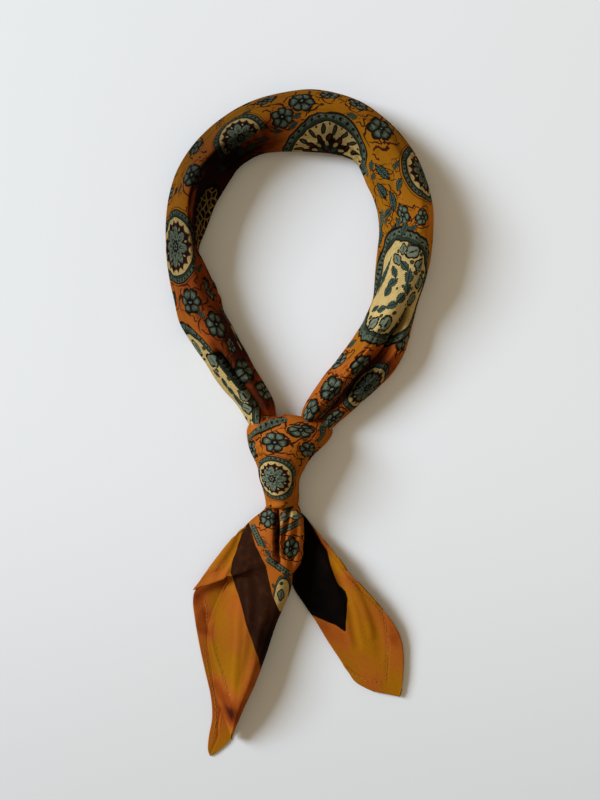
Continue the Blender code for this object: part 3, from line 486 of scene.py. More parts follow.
# painted shading: these spots darken the cloth as painted shade, and lighten it as painted light below 0
PAINTED_SHADING_GLOWS = (
    (215, 346, 0.5, 2.3), (222, 354.5, 0.85, 2.4), (228, 363, 0.9, 2.4), (235, 372, 0.9, 2.4),
    (243.5, 382, 0.75, 2.2), (250, 392, 0.3, 2.2), (259, 402, 0.15, 2.2), (322, 412, 0.6, 3),
    (336, 403, 0.7, 3.5), (349, 394, 0.8, 4), (360, 385, 0.8, 4.5), (372, 375, 0.75, 4.5),
    (384, 364, 0.6, 3.5), (408, 322, 0.3, 4), (434, 215, -0.6, 9), (272, 478, -0.25, 8),
    (262, 398, -0.5, 9), (288, 430, -0.32, 10), (345, 372, -0.12, 15), (430, 250, -0.3, 10),
    (232, 650, 0.2, 22), (433, 300, -0.4, 8), (422, 335, -0.7, 9), (240, 138, -0.2, 8),
    (400, 285, -0.15, 14), (382, 325, -0.25, 9), (300, 98, 0.22, 18), (262, 106, 0.36, 18),
    (228, 124, 0.34, 15), (203, 153, 0.5, 15), (186, 186, 0.4, 15), (177, 220, 0.3, 13),
    (173, 252, 0.26, 12), (180, 290, 0.26, 13), (192, 315, 0.2, 12), (276, 516, 0.9, 1.9),
    (276, 524, 0.9, 1.9), (276.5, 532, 0.9, 1.9), (277, 540, 0.9, 1.9), (277, 548, 0.8, 1.9),
    (303, 520, 0.3, 3), (236, 164, 0.4, 6), (252, 152, 0.4, 6), (318, 140, 0.15, 8), (337, 137, 0.4, 7),
    (276, 148, 0.4, 6), (275, 640, 0.8, 8),
)
BLOT_GLOWS = ((325, 556, 1, 6),)
BAND_DYE, KNOT_DYE, TAIL_DYE = 0.20, 0.55, 0.10   # how far the dye has turned all over
INNER_SHADE_RED = 2.4           # painted shade: how much redder the left arc's inner face is where it turns from the window
INNER_SHADE_DARK = 0.50         # and how much darker, also painted shade


# ------------------------------------------------------------------------------------ grids of cloth


def smooth(x):
    x = np.clip(x, 0.0, 1.0)
    return x * x * (3 - 2 * x)


def through(rows, places):
    """The rows at many places along a table, on a smooth curve through them all."""
    table = np.array(rows, float)
    first = np.clip(places.astype(int), 0, len(table) - 2)
    share = (places - first)[:, None]
    p, q, r, s = (table[np.clip(first + k, 0, len(table) - 1)] for k in (-1, 0, 1, 2))
    square, cube = share**2, share**3
    return (
        (2 * cube - 3 * square + 1) * q
        + (cube - 2 * square + share) * (r - p) / 2
        + (3 * square - 2 * cube) * r
        + (cube - square) * (s - q) / 2
    )


def line_through(points, count):
    """A smooth line through a few points, with that many stretches between each two."""
    return through(points, np.linspace(0, len(points) - 1, count * (len(points) - 1) + 1))


def runs(points):
    """How far along a line each of its points lies."""
    return np.concatenate([[0], np.cumsum(np.linalg.norm(np.diff(points, axis=0), axis=1))])


def stations(rows):
    """The table's rows again, about one STEP apart on the cloth."""
    fine = np.linspace(0, len(rows) - 1, 40 * len(rows))
    line = through(rows, fine)
    run = runs((line[:, 0:2] + line[:, 2:4]) / 2)
    count = max(round(run[-1] / STEP), 4)
    return through(rows, np.interp(np.linspace(0, run[-1], count + 1), run, fine))


def even(points, count):
    """A line of points again, with that many even stretches."""
    run = runs(points)
    at = np.linspace(0, run[-1], count + 1)
    return np.stack([np.interp(at, run, points[:, k]) for k in range(points.shape[1])], axis=1)


def flank(wide, waist, high, full, step, count):
    """Half a roll's section, from its waist out at the side up to its crest: (inwards, up)."""
    angle = np.linspace(0, 90, 181)
    across = 1 - np.cos(np.radians(angle)) ** (2 / full)
    rise = np.sin(np.radians(angle)) ** (2 / full)
    layers = sum(smooth((angle - start) / 2.5) for start in LAYER_ANGLES)
    inwards = wide * across + step * layers * (1 - across)
    return even(np.stack([inwards, waist + (high - waist) * rise], axis=1), count)


def roll_section(row, side_count):
    """The closed outline of a roll's section, from the middle of its underside round over edge a."""
    a_x, a_y, b_x, b_y, crest, high, full_a, full_b = row
    wide = math.hypot(b_x - a_x, b_y - a_y)
    waist = WAIST * high
    turn = np.radians(np.linspace(0, 90, 7))
    foot_up = TABLE_GAP + (waist - TABLE_GAP) * (1 - np.cos(turn))
    foot = np.stack([TUCK * wide * (1 - np.sin(turn)), foot_up], axis=1)
    step = min(LAYER_STEP, 0.05 * wide)
    side_a = flank(wide * crest, waist, high, full_a, step, side_count)
    side_b = flank(wide * (1 - crest), waist, high, full_b, step, side_count)
    under_a = even(np.concatenate([[[wide / 2, TABLE_GAP]], foot]), UNDER_COUNT)
    under_b, side_b = (half * (-1, 1) + (wide, 0) for half in (under_a, side_b))
    outline = np.concatenate([under_a, side_a[1:], side_b[-2::-1], under_b[-2::-1]])
    out_x, out_y = (b_x - a_x) / wide, (b_y - a_y) / wide
    return np.stack([a_x + out_x * outline[:, 0], a_y + out_y * outline[:, 0], outline[:, 1]], axis=1)


class Cloth:
    """A grid of points over a stretch of cloth, [along, across, xyz]."""

    def __init__(self, points, closed):
        self.points = points
        self.plain = points.copy()   # as it lies before its creases
        self.closed = closed
        ahead = np.linalg.norm(np.diff(points, axis=0), axis=2)
        aside = np.linalg.norm(np.diff(points, axis=1), axis=2)
        self.along = np.concatenate([np.zeros((1, points.shape[1])), np.cumsum(ahead, axis=0)])
        self.across = np.concatenate([np.zeros((points.shape[0], 1)), np.cumsum(aside, axis=1)], axis=1)
        self.across -= self.across[:, points.shape[1] // 2][:, None]

    @property
    def side(self):
        """1 or -1, so that the normals point up from the table."""
        middle = self.points.shape[1] // 2
        along = self.points[1:, middle] - self.points[:-1, middle]
        across = self.points[:-1, middle + 1] - self.points[:-1, middle - 1]
        return 1.0 if np.cross(across, along)[:, 2].sum() > 0 else -1.0

    def normals(self):
        p = self.points
        along = np.gradient(p, axis=0)
        across = np.gradient(p, axis=1)
        if self.closed:
            across[:, 0] = across[:, -1] = p[:, 1] - p[:, -2]
        out = np.cross(across, along)
        out /= np.maximum(np.linalg.norm(out, axis=2, keepdims=True), 1e-9)
        return out * self.side

    def seen(self):
        """Where each point shows in the picture, in pixels; points that face away lie far off."""
        x, y, z = np.moveaxis(self.points, 2, 0)
        nearer = EYE_HIGH / (EYE_HIGH - z) / MM_PER_PIXEL
        place = np.stack([PICTURE_WIDE / 2 + x * nearer, PICTURE_HIGH / 2 - y * nearer], axis=2)
        place[self.normals()[:, :, 2] < 0.03] = 1e6
        return place

    def find(self, seen, x, y):
        """The grid point under a pixel, and how many pixels off it lies."""
        off = np.hypot(seen[:, :, 0] - x, seen[:, :, 1] - y)
        i, j = np.unravel_index(off.argmin(), off.shape)
        return i, j, off[i, j]

    def lay_line(self, seen, points):
        """A line of picture points laid on the cloth, as points in space."""
        found = [self.find(seen, x, y) for x, y in line_through(points, 4)]
        return np.array([self.points[i, j] for i, j, off in found if off < 4.0])


def roll_cloth(rows, side_count):
    return Cloth(np.array([roll_section(row, side_count) for row in stations(rows)]), closed=True)


def turned_edge(high, low, bulge, tuck, count):
    """The edge of a sheet that turns down and back under: (outwards, up) from its upper corner."""
    share = np.linspace(0, 1, count + 1)[None, 1:]
    out = bulge * np.sin(np.pi * share) - tuck * share**2
    return out, high + (low - high) * (1 - np.cos(np.pi * share)) / 2


def sheet_cloth(rows, swell, fold_bottom=None):
    """A sheet through its rows. Both edges turn down: a hem's thickness, or as far as fold_bottom."""
    columns = (stations(rows)[:, k][:, None] for k in range(8))
    left_x, left_y, right_x, right_y, left_high, crest, crest_high, right_high = columns
    bulge, swell_right = (HEM_BULGE, 1.0) if fold_bottom is None else (FOLD_BULGE, 0.45)
    run_x, run_y = right_x - left_x, right_y - left_y
    wide = np.hypot(run_x, run_y)
    share = np.linspace(0, 1, SHEET_COLUMNS + 1)[None, :]
    rise_left = np.sin(np.pi / 2 * np.clip(share / crest, 0, 1)) ** swell
    rise_right = np.sin(np.pi / 2 * np.clip((1 - share) / (1 - crest), 0, 1)) ** swell_right
    z = np.where(
        share < crest,
        left_high + (crest_high - left_high) * rise_left,
        right_high + (crest_high - right_high) * rise_right,
    )
    across = HEM_BULGE + (wide - HEM_BULGE - bulge) * share
    tuck = np.minimum(0.8, 0.2 * wide)
    low_left, low_right = (np.maximum(high - HEM_THICK, TABLE_GAP) for high in (left_high, right_high))
    if fold_bottom is not None:
        low_right = fold_bottom + 0 * right_high
    left_out, left_z = turned_edge(left_high, low_left, HEM_BULGE, tuck, 4)
    right_out, right_z = turned_edge(right_high, low_right, bulge, tuck, 9)
    left_edge, right_edge = HEM_BULGE - left_out[:, ::-1] + 0 * wide, wide - bulge + right_out
    across = np.concatenate([left_edge, across, right_edge], axis=1)
    z = np.concatenate([left_z[:, ::-1], z, right_z], axis=1)
    x, y = left_x + run_x / wide * across, left_y + run_y / wide * across
    return Cloth(np.stack([x, y, z], axis=2), closed=False)


def press_creases(cloth, creases):
    """Moves the cloth's points in or out along its normals, near each crease's line."""
    for kind, deep, wide, picture_points in creases:
        line = cloth.lay_line(cloth.seen(), picture_points)
        if len(line) < 2:
            continue
        normals = cloth.normals()
        points = cloth.points
        best = np.full(points.shape[:2], np.inf)
        place = np.zeros(points.shape[:2])
        hand = np.zeros(points.shape[:2])
        for k, (start, end) in enumerate(zip(line, line[1:])):
            run = end - start
            length = max(np.linalg.norm(run), 1e-6)
            share = np.clip(((points - start) @ run) / length**2, 0, 1)
            offset = points - start - share[:, :, None] * run
            far = np.linalg.norm(offset, axis=2)
            nearer = far < best
            best[nearer] = far[nearer]
            place[nearer] = ((k + share) / (len(line) - 1))[nearer]
            hand[nearer] = (offset * np.cross(run / length, normals)).sum(axis=2)[nearer]
        fade = np.sin(np.pi * np.clip(place, 0.0, 1.0)) ** 0.5
        if kind == "fold":
            low = smooth(hand / 0.5 + 0.5) * (1 - smooth(best / wide))
        else:
            low = np.clip(1 - (best / wide) ** 2, 0, 1) ** 2
        points -= normals * (deep * fade * low)[:, :, None]


def ripple(cloth, size, seed):
    """The slight unevenness of laid cloth: a few long soft waves, mostly along the grid."""
    draw = np.random.default_rng(seed)
    s, t = cloth.along, cloth.across
    wave = np.zeros(s.shape)
    for _ in range(9):
        angle = draw.normal(0, 0.5)
        length = draw.uniform(7, 30)
        way = (s * math.sin(angle) * 0.5 + t * math.cos(angle)) * 2 * math.pi / length
        wave += np.sin(way + draw.uniform(0, 6.3) + 0.8 * np.sin(s / draw.uniform(9, 25))) * length / 30
    cloth.points += cloth.normals() * (wave * size / 3)[:, :, None]
    cloth.points[:, :, 2] = np.maximum(cloth.points[:, :, 2], TABLE_GAP)


# --------------------------------------------------------------------- places in the picture as fields


def on_table(points):
    """Picture points as places on the tails, in the tables' millimetres."""
    scale = MM_PER_PIXEL * (EYE_HIGH - TAIL_HIGH) / EYE_HIGH
    x, y = np.array(points, float).T
    return np.stack([(x - PICTURE_WIDE / 2) * scale, (PICTURE_HIGH / 2 - y) * scale], axis=1)


def away_from(points, line):
    """How far grid points lie from a line, seen from above."""
    best = np.full(points.shape[:2], np.inf)
    plan = points[:, :, :2]
    for start, end in zip(line, line[1:]):
        run = end - start
        share = np.clip((plan - start) @ run / max(run @ run, 1e-9), 0, 1)
        offset = plan - start - share[:, :, None] * run
        best = np.minimum(best, np.hypot(offset[:, :, 0], offset[:, :, 1]))
    return best


def inside_outline(points, outline):
    """Signed distance to a closed outline seen from above: negative inside."""
    closed = np.concatenate([outline, outline[:1]])
    best = away_from(points, closed)
    x, y = points[:, :, 0], points[:, :, 1]
    inside = np.zeros(points.shape[:2], bool)
    for (x0, y0), (x1, y1) in zip(closed, closed[1:]):
        crosses = (y0 > y) != (y1 > y)
        at = x0 + (y - y0) / np.where(abs(y1 - y0) < 1e-9, 1e-9, y1 - y0) * (x1 - x0)
        inside ^= crosses & (x < at)
    return np.where(inside, -best, best)


def spots_over(cloth, base, glows):
    """A field over the cloth: a base with soft spots of the picture laid over it."""
    total = np.full(cloth.points.shape[:2], float(base))
    for x, y, amount, wide in glows:
        spot = on_table(((x, y),))[0]
        far = np.hypot(cloth.points[:, :, 0] - spot[0], cloth.points[:, :, 1] - spot[1])
        total += amount * np.exp(-((far / wide) ** 2))
    return total


# --------------------------------------------------------------------------- stamping the print on


def corners(values):
    """A grid's values at the four corners of each of its faces."""
    return np.stack([values[:-1, :-1], values[1:, :-1], values[1:, 1:], values[:-1, 1:]], axis=2)


def unit(way):
    """A way with a length of 1."""
    return way / max(np.linalg.norm(way), 1e-6)


def surface_frame(cloth, i, j, degrees):
    """A flat frame on the cloth: how far a step along or across the grid goes its two ways.

    The first way shows in the picture as a turn, and the second is square to it."""
    p = cloth.plain
    along = unit(p[min(i + 2, p.shape[0] - 1), j] - p[max(i - 2, 0), j])
    across = unit(p[i, min(j + 2, p.shape[1] - 1)] - p[i, max(j - 2, 0)])
    want = np.array([math.cos(math.radians(degrees)), math.sin(math.radians(degrees))])
    share = np.linalg.lstsq(np.stack([along[:2], across[:2]], axis=1), want, rcond=0.2)[0]
    first = unit(share[0] * along + share[1] * across)
    second = unit(np.cross(np.cross(along, across), first))
    return along @ first, across @ first, along @ second, across @ second


def stamp(cloth, seen, stamped, margin, within):
    """For each face, its motif's kind and number, and its corners' places in that motif's frame."""
    shape = (cloth.points.shape[0] - 1, cloth.points.shape[1] - 1)
    place = np.full(shape + (4, 2), FAR)
    kind = np.zeros(shape)
    number = np.zeros(shape)
    best = np.full(shape, np.inf)
    for count, motif in enumerate(stamped):
        i, j, off = cloth.find(seen, motif.x, motif.y)
        if off > within:
            continue
        if cloth.closed:
            ways = surface_frame(cloth, i, j, motif.turn)
            along = cloth.along - cloth.along[i][None, :]
            across = cloth.across - cloth.across[i, j]
        else:
            turn = math.radians(motif.turn)
            ways = math.cos(turn), math.sin(turn), -math.sin(turn), math.cos(turn)
            along = (seen[:, :, 0] - motif.x) * MM_PER_PIXEL
            across = (motif.y - seen[:, :, 1]) * MM_PER_PIXEL
        u = corners(np.clip((along * ways[0] + across * ways[1]) / motif.long, -FAR, FAR))
        v = corners(np.clip((along * ways[2] + across * ways[3]) / motif.wide, -FAR, FAR))
        far = np.hypot(u.mean(axis=2), v.mean(axis=2))
        mine = (far < best) & (far < margin)
        best[mine] = far[mine]
        kind[mine] = motif.kind
        number[mine] = count
        place[mine] = np.stack([u, v], axis=3)[mine]
    return place, kind, number


Print = namedtuple("Print", "large small vine large_kind small_kind vine_kind on_top")


def print_cloth(cloth, reach):
    """Stamps every motif that this stretch of cloth shows, and scatters more where it is hidden."""
    seen = cloth.seen()
    large, large_kind, number = stamp(cloth, seen, LARGE_MOTIFS, LARGE_MARGIN, reach)
    middles = np.stack([corners(seen[:, :, k]).mean(axis=2) for k in (0, 1)], axis=2)
    tucked = inside_outline(middles, np.array(FIRST_FOLD, float)) < 0
    large_kind[tucked & (number == 0)] = 0
    small, small_kind, number = stamp(cloth, seen, PLANTS + INLAYS, SMALL_MARGIN, SMALL_REACH)
    vine, vine_kind, _ = stamp(cloth, seen, CURLS + VINES, VINE_MARGIN, SMALL_REACH)
    on_top = (number >= len(PLANTS)) & (small_kind > 0)
    scatter(cloth, large_kind, small, small_kind, vine, vine_kind)
    return Print(large, small, vine, large_kind, small_kind, vine_kind, on_top.astype(float))


def scatter(cloth, large_kind, small, small_kind, vine, vine_kind):
    """Puts flowers and leaves with their tendrils on the bare cloth that the picture doesn't show."""
    draw = np.random.default_rng(7)
    s4, t4 = corners(cloth.along), corners(cloth.across)
    s, t = s4.mean(axis=2), t4.mean(axis=2)
    hidden = corners(cloth.normals()[:, :, 2]).mean(axis=2) < HIDDEN
    taken = [(s[i, j], t[i, j]) for i, j in zip(*np.nonzero((small_kind > 0) | (large_kind > 0)))][::5]
    taken = np.array(taken) if taken else np.full((1, 2), 1e6)
    rows, columns = np.nonzero(hidden & (large_kind == 0) & (small_kind == 0))
    for k in draw.permutation(len(rows))[:SCATTER_TRIES]:
        i, j = rows[k], columns[k]
        size = draw.uniform(*SCATTER_SIZES)
        if np.hypot(taken[:, 0] - s[i, j], taken[:, 1] - t[i, j]).min() < 1.5 * size:
            continue
        kind = draw.choice((FLOWER, FLOWER, LEAF))
        squash = 0.85 if kind == FLOWER else 0.5
        angle = draw.uniform(0, 6.28)
        ahead, aside = s4 - s[i, j], t4 - t[i, j]
        u = (ahead * math.cos(angle) + aside * math.sin(angle)) / size
        v = (aside * math.cos(angle) - ahead * math.sin(angle)) / size / squash
        far = np.hypot(u.mean(axis=2), v.mean(axis=2))
        mine = (far < 1.15) & (small_kind == 0)
        small[mine] = np.stack([u, v], axis=3)[mine]
        small_kind[mine] = kind
        wider = (far < VINE_MARGIN * VINE_REACH) & (vine_kind == 0)
        vine[wider] = np.stack([u, v], axis=3)[wider] / VINE_REACH
        vine_kind[wider] = VINE
        taken = np.concatenate([taken, np.stack([s[mine], t[mine]], axis=1)[::2]])


# ------------------------------------------------------------------------------------------ meshes


def cloth_object(name, cloth, printed, fields):
    """A mesh over the grid with its cloth map, its print and its fields, given its thickness."""
    rows, columns = cloth.points.shape[:2]
    width = columns - 1 if cloth.closed else columns
    number = np.arange(rows * width).reshape(rows, width)
    if cloth.closed:
        number = np.concatenate([number, number[:, :1]], axis=1)
    order = slice(None, None, -1) if cloth.side > 0 else slice(None)
    vertices = cloth.points[:, :width].reshape(-1, 3) * MM
    vertices[:, 1] += MIDDLE_Y * MM
    mesh = bpy.data.meshes.new(name)
    mesh.from_pydata(vertices.tolist(), [], corners(number).reshape(-1, 4)[:, order].tolist())
    obj = bpy.data.objects.new(name, mesh)
    bpy.context.scene.collection.objects.link(obj)

    def add_map(title, values):
        layer = mesh.uv_layers.new(name=title)
        layer.data.foreach_set("uv", np.ascontiguousarray(values.reshape(-1, 4, 2)[:, order]).ravel())

    def add_field(title, values, domain):
        layer = mesh.attributes.new(title, "FLOAT", domain)
        layer.data.foreach_set("value", np.ascontiguousarray(values, dtype=np.float32).ravel())

    add_map("cloth", np.stack([corners(cloth.along), corners(cloth.across)], axis=3))
    for title in Print._fields[:3]:
        add_map(title, getattr(printed, title))
    for title in Print._fields[3:]:
        add_field(title, getattr(printed, title), "FACE")
    for title, values in fields.items():
        add_field(title, values[:, :width], "POINT")
    mesh.shade_smooth()
    shell = obj.modifiers.new("shell", "SOLIDIFY")
    shell.thickness = CLOTH_THICK * MM
    shell.offset = -1
    bpy.ops.object.select_all(action="DESELECT")
    bpy.context.view_layer.objects.active = obj
    obj.select_set(True)
    bpy.ops.object.modifier_apply(modifier=shell.name)
    obj.select_set(False)
    return obj


def finish_piece(obj, material, replaced=()):
    """Gives a piece its material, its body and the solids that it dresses."""
    obj.data.materials.clear()
    obj.data.materials.append(material)
    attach(obj, "root")
    if replaced:
        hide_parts(*replaced)


# ------------------------------------------------------------------------------- maths for shaders


def feed(socket, value):
    """Links a value to a node's input, or sets a number or colour there."""
    if isinstance(value, Value):
        value.tree.links.new(value.socket, socket)
    else:
        socket.default_value = value


def new_node(tree, kind, inputs=(), **settings):
    """A shader node with its settings, and with its inputs by name or number."""
    node = tree.nodes.new("ShaderNode" + kind)
    for key, value in settings.items():
        setattr(node, key, value)
    for key, value in dict(inputs).items():
        feed(node.inputs[key], value)
    return node


def calculate(tree, operation, *values):
    return Value(new_node(tree, "Math", enumerate(values), operation=operation).outputs[0])


class Value:
    """An output of a shader node, so that a pattern reads as a formula."""

    def __init__(self, socket):
        self.socket = socket
        self.tree = socket.id_data

    def do(self, operation, *others):
        return calculate(self.tree, operation, self, *others)

    def __add__(self, other):
        return self.do("ADD", other)

    def __sub__(self, other):
        return self.do("SUBTRACT", other)

    def __rsub__(self, other):
        return calculate(self.tree, "SUBTRACT", other, self)

    def __mul__(self, other):
        return self.do("MULTIPLY", other)

    def __truediv__(self, other):
        return self.do("DIVIDE", other)

    def __abs__(self):
        return self.do("ABSOLUTE")

    __radd__, __rmul__ = __add__, __mul__


def most(a, b):
    return a.do("MAXIMUM", b)


def length(a, b):
    return (a * a + b * b).do("SQRT")


def choose(share, yes, no):
    """yes where share is 1, no where it is 0."""
    return yes * share + no * (1 - share)


def below(value, edge, soft):
    """1 where value is under edge, 0 where it is over, with a soft step."""
    ends = {"From Min": edge - soft / 2, "From Max": edge + soft / 2, "To Min": 1.0, "To Max": 0.0}
    node = new_node(value.tree, "MapRange", {"Value": value, **ends}, interpolation_type="SMOOTHSTEP")
    return Value(node.outputs["Result"])


def above(value, edge, soft):
    return 1 - below(value, edge, soft)


def is_kind(value, number):
    """1 where value is that whole number, 0 elsewhere."""
    return below(abs(value - number), 0.5, 0.2)


def saw(angle, count, shift=0.0):
    """A saw from -0.5 to 0.5, that many times round."""
    return (angle * (count / (2 * math.pi)) + (0.5 + shift)).do("FRACT") - 0.5


def vector(operation, first, *others):
    node = new_node(first.tree, "VectorMath", enumerate((first, *others)), operation=operation)
    return Value(node.outputs[0])


def split(place):
    return [Value(output) for output in new_node(place.tree, "SeparateXYZ", {0: place}).outputs]


def noise(place, scale, detail=2.0):
    """Soft noise: its value and its colour, which serves as three values at once."""
    node = new_node(place.tree, "TexNoise", {"Vector": place, "Scale": scale, "Detail": detail})
    return Value(node.outputs[0]), Value(node.outputs[1])


def mix(share, a, b):
    """Colour a where share is 0, b where it is 1."""
    return Value(new_node(share.tree, "Mix", {0: share, 6: a, 7: b}, data_type="RGBA").outputs[2])


def paint(colour, *layers):
    """A colour with others laid over it: each layer is where it shows, and its colour."""
    for where, over in layers:
        colour = mix(where, colour, over)
    return colour


# ----------------------------------------------------------------------------------------- colours

MUSTARD = (0.320, 0.116, 0.002, 1)
OLIVE_GOLD = (0.262, 0.098, 0.003, 1)
ORANGE = (0.350, 0.084, 0.009, 1)
RUST = (0.225, 0.040, 0.004, 1)
DEEP_WINE = (0.032, 0.005, 0.002, 1)
TEAL = (0.090, 0.104, 0.066, 1)
TEAL_PALE = (0.135, 0.150, 0.100, 1)
LEAF_BLUE = (0.050, 0.088, 0.066, 1)
TEAL_DARK = (0.018, 0.028, 0.017, 1)
CREAM = (0.470, 0.330, 0.125, 1)
CREAM_SHADE = (0.300, 0.195, 0.060, 1)
INK = (0.008, 0.005, 0.003, 1)
NET_GOLD = (0.330, 0.190, 0.045, 1)
OLIVE = (0.038, 0.036, 0.015, 1)
WINE = (0.060, 0.011, 0.004, 1)
STRIPE_BROWN = (0.021, 0.006, 0.002, 1)
STRIPE_BLACK = (0.0022, 0.0012, 0.0006, 1)
THREAD = (0.480, 0.225, 0.032, 1)
TABLE_LIGHT = (0.84, 0.84, 0.84, 1)
TABLE_WHITE = (0.80, 0.80, 0.80, 1)
TABLE_PAINTED_SHADE = (0.675, 0.675, 0.672, 1)
WINDOW_LIGHT = (0.754, 0.862, 1.0)
ROOM_LIGHT = (1.0, 0.838, 0.59, 1)

# ------------------------------------------------------------------------------------- the motifs

FLOAT, COLOUR, VECTOR = "NodeSocketFloat", "NodeSocketColor", "NodeSocketVector"
MOTIF_INPUTS = (("Place", VECTOR, (0, 0, 0)), ("Kind", FLOAT, 0.0), ("Mottle", FLOAT, 0.5))
MOTIF_OUTPUTS = (("Color", COLOUR), ("Mask", FLOAT))
RING_DOTS = 36            # round a medallion
DOT_RING = 0.903          # how far out the ring's dots lie
SQUARENESS = 2.7          # of a cream field's outline; 2 is an ellipse


def new_group(name, inputs, outputs):
    """A shader node group with named sockets: its tree, its inputs as values, and its outputs."""
    tree = bpy.data.node_groups.new(name, "ShaderNodeTree")
    for title, kind, value in inputs:
        tree.interface.new_socket(title, in_out="INPUT", socket_type=kind).default_value = value
    for title, kind in outputs:
        tree.interface.new_socket(title, in_out="OUTPUT", socket_type=kind)
    given = tree.nodes.new("NodeGroupInput").outputs
    return tree, [Value(given[title]) for title, _, _ in inputs], tree.nodes.new("NodeGroupOutput").inputs


def polar(place):
    """(u, v, how far out, angle) of a place in a motif's own frame."""
    u, v, _ = split(place)
    return u, v, length(u, v), v.do("ARCTAN2", u)


def petals(angle, far, count, middle, long, wide, soft, colour, shift=0.0):
    """A layer of paint: a ring of petals, each an ellipse with its middle so far out."""
    turned = saw(angle, count, shift) * (2 * math.pi / count)
    ahead, aside = far * turned.do("COSINE"), far * turned.do("SINE")
    return below(length((ahead - middle) * (1 / long), aside * (1 / wide)), 1.0, soft), colour


def spoke(angle, far, count, shift=0.0):
    """How far a place lies from the nearest of some straight lines out of the middle."""
    return abs(saw(angle, count, shift)) * (far * (2 * math.pi / count))


def medallion_group():
    """The large motifs: medallion, cream field, sunburst, net and dotted band."""
    tree, (place, kind, mottle), out = new_group("medallion_print", MOTIF_INPUTS, MOTIF_OUTPUTS)
    u, v, far, angle = polar(place)
    is_medallion, is_field, is_band = (is_kind(kind, number) for number in (MEDALLION, FIELD, BAND))
    squarer = (abs(u).do("POWER", SQUARENESS) + abs(v).do("POWER", SQUARENESS)).do("POWER", 1 / SQUARENESS)
    far = choose(is_field, squarer, far)
    teal = mix(mottle, TEAL_DARK, TEAL)
    pale = mix(mottle, TEAL, TEAL_PALE)
    cream = mix(mottle, CREAM_SHADE, CREAM)

    def ring(*shape):
        return petals(angle, far, *shape)

    # the ring, its dots and the cream ring inside it
    dot_x = saw(angle, RING_DOTS) * (2 * math.pi / RING_DOTS * 0.885)
    round_dots = below(length(dot_x, far - DOT_RING), 0.034, 0.024)
    flat_side = below(abs(u) - abs(v), 0.0, 0.02)
    step_by = choose(flat_side, u * 13.0, v * 6.0)
    tall = choose(flat_side, 6.0, 13.0)
    field_dots = below(length(step_by.do("FRACT") - 0.5, (far - DOT_RING) * tall), 0.23, 0.12)
    rim = below(abs(far - 0.850), 0.007, 0.012)
    colour = paint(
        INK,
        (below(far, 0.955, 0.02), teal),
        (most(choose(is_field, field_dots, round_dots), rim), INK),
        (below(far, 0.845, 0.02), TEAL_DARK),
        (below(far, 0.800, 0.02), INK),
        (below(far, 0.770, 0.02), cream),
    )
    # the flower inside a medallion: a spiky star, outlined petals and a dotted heart
    spikes = abs(saw(angle, 16))
    star = far - spikes * spikes * 0.42
    flower = paint(
        cream,
        (below(star, 0.625, 0.02), WINE),
        (below(star, 0.570, 0.02), INK),
        ring(8, 0.505, 0.050, 0.026, 0.3, CREAM_SHADE, 0.5),
        ring(8, 0.350, 0.195, 0.122, 0.12, mix(mottle, TEAL_DARK, TEAL_PALE)),
        ring(8, 0.300, 0.110, 0.045, 0.3, TEAL_DARK),
        ring(8, 0.330, 0.060, 0.018, 0.3, pale),
        (below(far, 0.135, 0.03), INK),
        ring(5, 0.070, 0.030, 0.026, 0.4, pale),
    )
    # the burst: long dark leaves round a dark heart
    burst = paint(
        cream,
        ring(17, 0.640, 0.125, 0.047, 0.2, INK),
        ring(17, 0.640, 0.085, 0.020, 0.5, OLIVE),
        ring(17, 0.735, 0.030, 0.022, 0.3, WINE, 0.5),
        ring(13, 0.440, 0.125, 0.068, 0.2, INK, 0.3),
        ring(13, 0.440, 0.080, 0.026, 0.5, WINE, 0.3),
        (below(far + abs(saw(angle, 9)) * 0.20, 0.460, 0.04), INK),
        ring(11, 0.320, 0.060, 0.040, 0.3, CREAM_SHADE),
        ring(7, 0.200, 0.075, 0.050, 0.3, TEAL_DARK),
        ring(5, 0.090, 0.040, 0.030, 0.3, WINE),
    )
    # a net of thin cream lines over dark cells
    cells = new_node(
        tree, "TexVoronoi", {"Vector": vector("MULTIPLY", place, (5.4, 3.0, 1.0)), "Scale": 1.0},
        feature="DISTANCE_TO_EDGE", voronoi_dimensions="2D",
    )
    net = mix(below(Value(cells.outputs["Distance"]), 0.12, 0.06), INK, NET_GOLD)
    net = mix(below(far, 0.86, 0.03), INK, net)
    # a straight dotted band
    high = abs(v)
    band_dots = below(length(((u * 4.5).do("FRACT") - 0.5) * 0.9, v * 0.75), 0.20, 0.1)
    band = paint(INK, (below(high, 0.70, 0.1), teal), (band_dots, INK))
    within = below(far, 0.765, 0.02)
    outer_line = below(abs(far - 1.055), 0.012, 0.016) * is_medallion
    colour = paint(
        colour,
        (within * is_medallion, flower),
        (within * is_kind(kind, SUNBURST), burst),
        (is_kind(kind, NET), net),
        (is_band, band),
        (outer_line, WINE),
    )
    round_mask = most(below(far, 1.0, 0.02), outer_line)
    band_mask = below(high, 1.0, 0.1) * below(abs(u), 0.98, 0.02)
    feed(out["Color"], colour)
    feed(out["Mask"], choose(is_band, band_mask, round_mask))
    return tree


